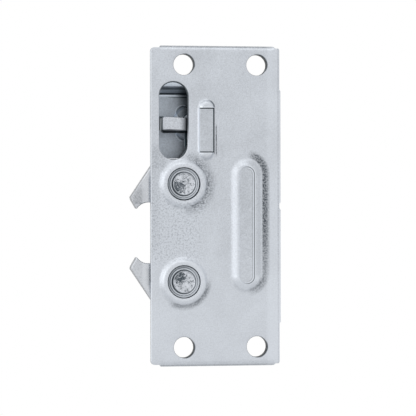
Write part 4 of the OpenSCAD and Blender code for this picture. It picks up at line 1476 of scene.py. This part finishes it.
class LATCH_OT_case(bpy.types.Operator):
    """Case: channel behind the plate with a pressed boss and bead"""
    bl_idname = "latch.case"
    bl_label = "Case"

    def execute(self, context):
        add_sheet(case_mesh(), "zinc_sheet_rear", "rear_housing", "case", 0.45, case_marks)
        return {"FINISHED"}


class LATCH_OT_claws(bpy.types.Operator):
    """Hook claws with their sync, drive and spring pins"""
    bl_idname = "latch.claws"
    bl_label = "Hook claws"

    def execute(self, context):
        # The claws' cut edges get painted shade high up, where they show through the slot
        edge = sheared_edge("claw_steel_edge", tinted(colour("claw"), 1.1), lambda f: f.z.ramp(19.5, 20.0))
        for side, mesh, body, marks in (("upper", upper_claw_mesh, BODY_UPPER, upper_claw_marks),
                                        ("lower", lower_claw_mesh, BODY_LOWER, lower_claw_marks)):
            steel = zinc(side + "_claw_steel", colour("claw"), 0.36, marks)
            wear(mesh(), body, "claw_steel", [side + "_claw"], steel, edge)
        steel = drawn_wire("pin_steel", colour("pivot"))
        for node, body in (("sync_pin", BODY_UPPER), ("drive_pin", BODY_UPPER),
                           ("lower_spring_pin", BODY_LOWER)):
            add_turned(node + "_bar", middle(node), bar_profile(node), node, "post_steel", steel, body, 64)
        return {"FINISHED"}


class LATCH_OT_pivots(bpy.types.Operator):
    """Pivot pins with spun heads, their bushes and washers, and the lever's rivet"""
    bl_idname = "latch.pivots"
    bl_label = "Pivots"

    def execute(self, context):
        turned = drawn_wire("bush_steel", colour("bush"))
        # Each side: its pivot, where its head's dark patch lies from the middle, and how heavy the painted
        # shade low on its collar is
        for side, at, patch_offset, arc in (("upper", UPPER, (-2.7, -1.2), 0.9), ("lower", LOWER, (-1.9, 1.9), 0.2)):
            head = spun_head(side + "_head", colour("pivot"), at, at + Vector(patch_offset))
            add_turned(side + "_pin", at, pivot_profile(), side + "_pivot_pin", "pivot_steel", head)
            collar = ringed(side + "_bush_steel", colour("bush"), at, arc)
            add_turned(side + "_bush", at, bush_profile(), side + "_pivot_bush", "bush_steel", collar)
            node = side + "_thrust_washer"
            add_turned(side + "_washer", at, ring_profile(node, BORE_R), node, "bush_steel", turned)
        # Painted shade on the rivet's front part, which shows in the slot
        rivet = zinc("rivet_steel", colour("pivot"), 0.34,
                     lambda f: {"grime": f.y.ramp(LEVER_BACK, LEVER_BACK - 1) * 0.85})
        add_turned("lever_rivet", LEVER_AT, rivet_profile(), "lever_pivot_rivet", "post_steel", rivet,
                   segments=72)
        add_turned("lever_ring", LEVER_AT, ring_profile("lever_washer", LEVER_BORE_R), "lever_washer",
                   "bush_steel", turned, segments=72)
        return {"FINISHED"}


class LATCH_OT_lever(bpy.types.Operator):
    """Release lever: hub, fork, ear and the tab in the slot"""
    bl_idname = "latch.lever"
    bl_label = "Release lever"

    def execute(self, context):
        steel = zinc("lever_steel", colour("lever"), 0.42, lever_marks, 1.3)
        wear(joined("lever_blank", [fork_blank(), tab_blank(), ear_block()]), BODY_LEVER, "lever_steel",
             ["release_lever"], steel, sheared_edge("lever_steel_edge", colour("lever")))
        return {"FINISHED"}


class LATCH_OT_springs(bpy.types.Operator):
    """Claw springs and the lever's return spring, swept by a geometry node tree"""
    bl_idname = "latch.springs"
    bl_label = "Springs"

    def execute(self, context):
        tree, steel = wire_tree(), drawn_wire("spring_wire", colour("wire"))
        wire, thin = size("wire"), size("lever_wire")
        add_spring("upper_coil", "upper_claw_spring", UPPER, 1, claw_coil(DRIVE_ARM, PIN_R, wire),
                   wire, 16, tree, steel)
        add_spring("lower_coil", "lower_claw_spring", LOWER, -1,
                   claw_coil(SPRING_ARM, SPRING_PIN_R, wire), wire, 16, tree, steel)
        add_spring("return_spring_wire", "lever_return_spring", LEVER_AT, 1, lever_coil(thin),
                   thin, 14, tree, steel)
        return {"FINISHED"}


class LATCH_OT_posts(bpy.types.Operator):
    """Spring posts and stop post with their rivet heads, and the rubber buffer"""
    bl_idname = "latch.posts"
    bl_label = "Posts and buffer"

    def execute(self, context):
        steel = zinc("post_steel", colour("bush"), 0.36)
        wear(posts_mesh(post_tree(), steel), BODY_CASE, "post_steel", POSTS, steel)
        add_turned("buffer", middle("stop_buffer"), buffer_profile(), "stop_buffer", "buffer_rubber",
                   moulded_rubber("buffer_rubber", colour("rubber")), segments=64)
        return {"FINISHED"}


class LATCH_OT_stage(bpy.types.Operator):
    """Floor, soft lamps and a long-lens camera to the left of the front"""
    bl_idname = "latch.stage"
    bl_label = "Stage"

    def execute(self, context):
        stage_floor()
        stage_world()
        for lamp in LAMPS:
            stage_lamp(*lamp)
        stage_camera()
        return {"FINISHED"}


# Stage: lamps as (name, place, size, watts), all in metres and aimed at the object
LAMPS = [("lamp_left", (-0.8, -0.35, 0.1), (0.9, 1.2), 2.0),
         ("lamp_top", (-0.1, -0.5, 0.95), (0.9, 0.4), 0.8)]
WHITE = (1.0, 1.0, 1.0)
SKY = (0.88, 0.92, 0.98)
SKY_STRENGTH = 0.5
FLOOR_Z = -0.135
FLOOR_HALF = 1.2
FLOOR_GREY = (0.85, 0.85, 0.85)
FLOOR_WHITE = 0.75
FLOOR_LIT_R = 0.36
FADE_FROM = 0.6
CAMERA_FROM_LEFT = 10.0
CAMERA_ROLL = -0.088
CAMERA_FAR = 1.0
SENSOR = 36
SIGHT = 20
VIEW_WIDTH = 0.17972
AIM = (-0.00550, 0.0, -0.00088)


def white_to_eye(nodes, end, shader, white, near, far_r=0.0):
    """Mixes a shader with white that the camera and mirror-like rays see: a share of it near, all far out."""
    seen = sum(nodes.node("LightPath", output="Is " + kind + " Ray")
               for kind in ("Camera", "Glossy", "Transmission")).clamp()
    if far_r:
        place = nodes.node("TexCoord", output="Object")
        out = nodes.node("VectorMath", {"operation": "LENGTH"}, output="Value", inputs=(place,))
        near = out.ramp(far_r * FADE_FROM, far_r) * (1 - near) + near
    glow = nodes.node(white, Color=WHITE, Strength=1.0)
    nodes.node(end, Surface=nodes.node("MixShader", inputs=(seen * near, shader, glow)))


def stage_world():
    world = bpy.context.scene.world or bpy.data.worlds.new("studio")
    bpy.context.scene.world = world
    nodes = Nodes(world)
    sky = nodes.node("Background", Color=SKY, Strength=SKY_STRENGTH)
    white_to_eye(nodes, "OutputWorld", sky, "Background", 1.0)


def stage_floor():
    h = FLOOR_HALF
    mesh = bpy.data.meshes.new("studio_floor")
    mesh.from_pydata([(x, z, FLOOR_Z) for x, z in ((-h, -h), (h, -h), (h, h), (-h, h))], [], [(0, 1, 2, 3)])
    material = bpy.data.materials.new("studio_floor")
    nodes = Nodes(material)
    matt = nodes.node("BsdfPrincipled", Base_Color=FLOOR_GREY, Roughness=0.9)
    white_to_eye(nodes, "OutputMaterial", matt, "Emission", FLOOR_WHITE, FLOOR_LIT_R)
    mesh.materials.append(material)
    link("studio_floor", mesh)


def stage_lamp(name, place, span, watts):
    lamp = bpy.data.lights.new(name, "AREA")
    lamp.shape = "RECTANGLE"
    lamp.size, lamp.size_y = span
    lamp.energy = watts
    obj = link(name, lamp)
    obj.location = place
    obj.rotation_euler = (-Vector(place)).to_track_quat("-Z", "Y").to_euler()


def stage_camera():
    turn = math.radians(CAMERA_FROM_LEFT)
    camera = bpy.data.cameras.new("camera")
    camera.sensor_width = SENSOR
    camera.lens = SENSOR * CAMERA_FAR / VIEW_WIDTH
    camera.clip_end = SIGHT
    obj = link("camera", camera)
    away = Vector((-math.sin(turn), -math.cos(turn), 0))
    obj.location = Vector(AIM) + away * CAMERA_FAR
    obj.rotation_euler = (-away).to_track_quat("-Z", "Y").to_euler()
    obj.rotation_euler.rotate(Matrix.Rotation(math.radians(CAMERA_ROLL), 3, away))
    bpy.context.scene.camera = obj


OPERATORS = [LATCH_OT_cover, LATCH_OT_case, LATCH_OT_claws, LATCH_OT_pivots, LATCH_OT_lever, LATCH_OT_springs,
             LATCH_OT_posts, LATCH_OT_stage]


class LATCH_PT_panel(bpy.types.Panel):
    """Sidebar panel with the sizes, the colours and a button for each piece"""
    bl_idname = "LATCH_PT_panel"
    bl_label = "Door latch"
    bl_space_type = "VIEW_3D"
    bl_region_type = "UI"
    bl_category = "Latch"

    def draw(self, context):
        for group in (context.scene.latch_sizes, context.scene.latch_colours):
            box = self.layout.box()
            for name in group.__annotations__:
                box.prop(group, name)
        for operator in OPERATORS:
            self.layout.operator(operator.bl_idname)


CLASSES = [LatchSizes, LatchColours] + OPERATORS + [LATCH_PT_panel]


def register():
    for cls in CLASSES:
        bpy.utils.register_class(cls)
    bpy.types.Scene.latch_sizes = bpy.props.PointerProperty(type=LatchSizes)
    bpy.types.Scene.latch_colours = bpy.props.PointerProperty(type=LatchColours)


def unregister():
    del bpy.types.Scene.latch_colours
    del bpy.types.Scene.latch_sizes
    for cls in reversed(CLASSES):
        bpy.utils.unregister_class(cls)


def main():
    register()
    scene = bpy.context.scene
    scene.view_settings.view_transform = "Standard"
    bpy.ops.latch.cover()
    bpy.ops.latch.case()
    bpy.ops.latch.claws()
    bpy.ops.latch.pivots()
    bpy.ops.latch.lever()
    bpy.ops.latch.springs()
    bpy.ops.latch.posts()
    bpy.ops.latch.stage()
    bpy.context.view_layer.update()


if __name__ == "__main__":
    main()
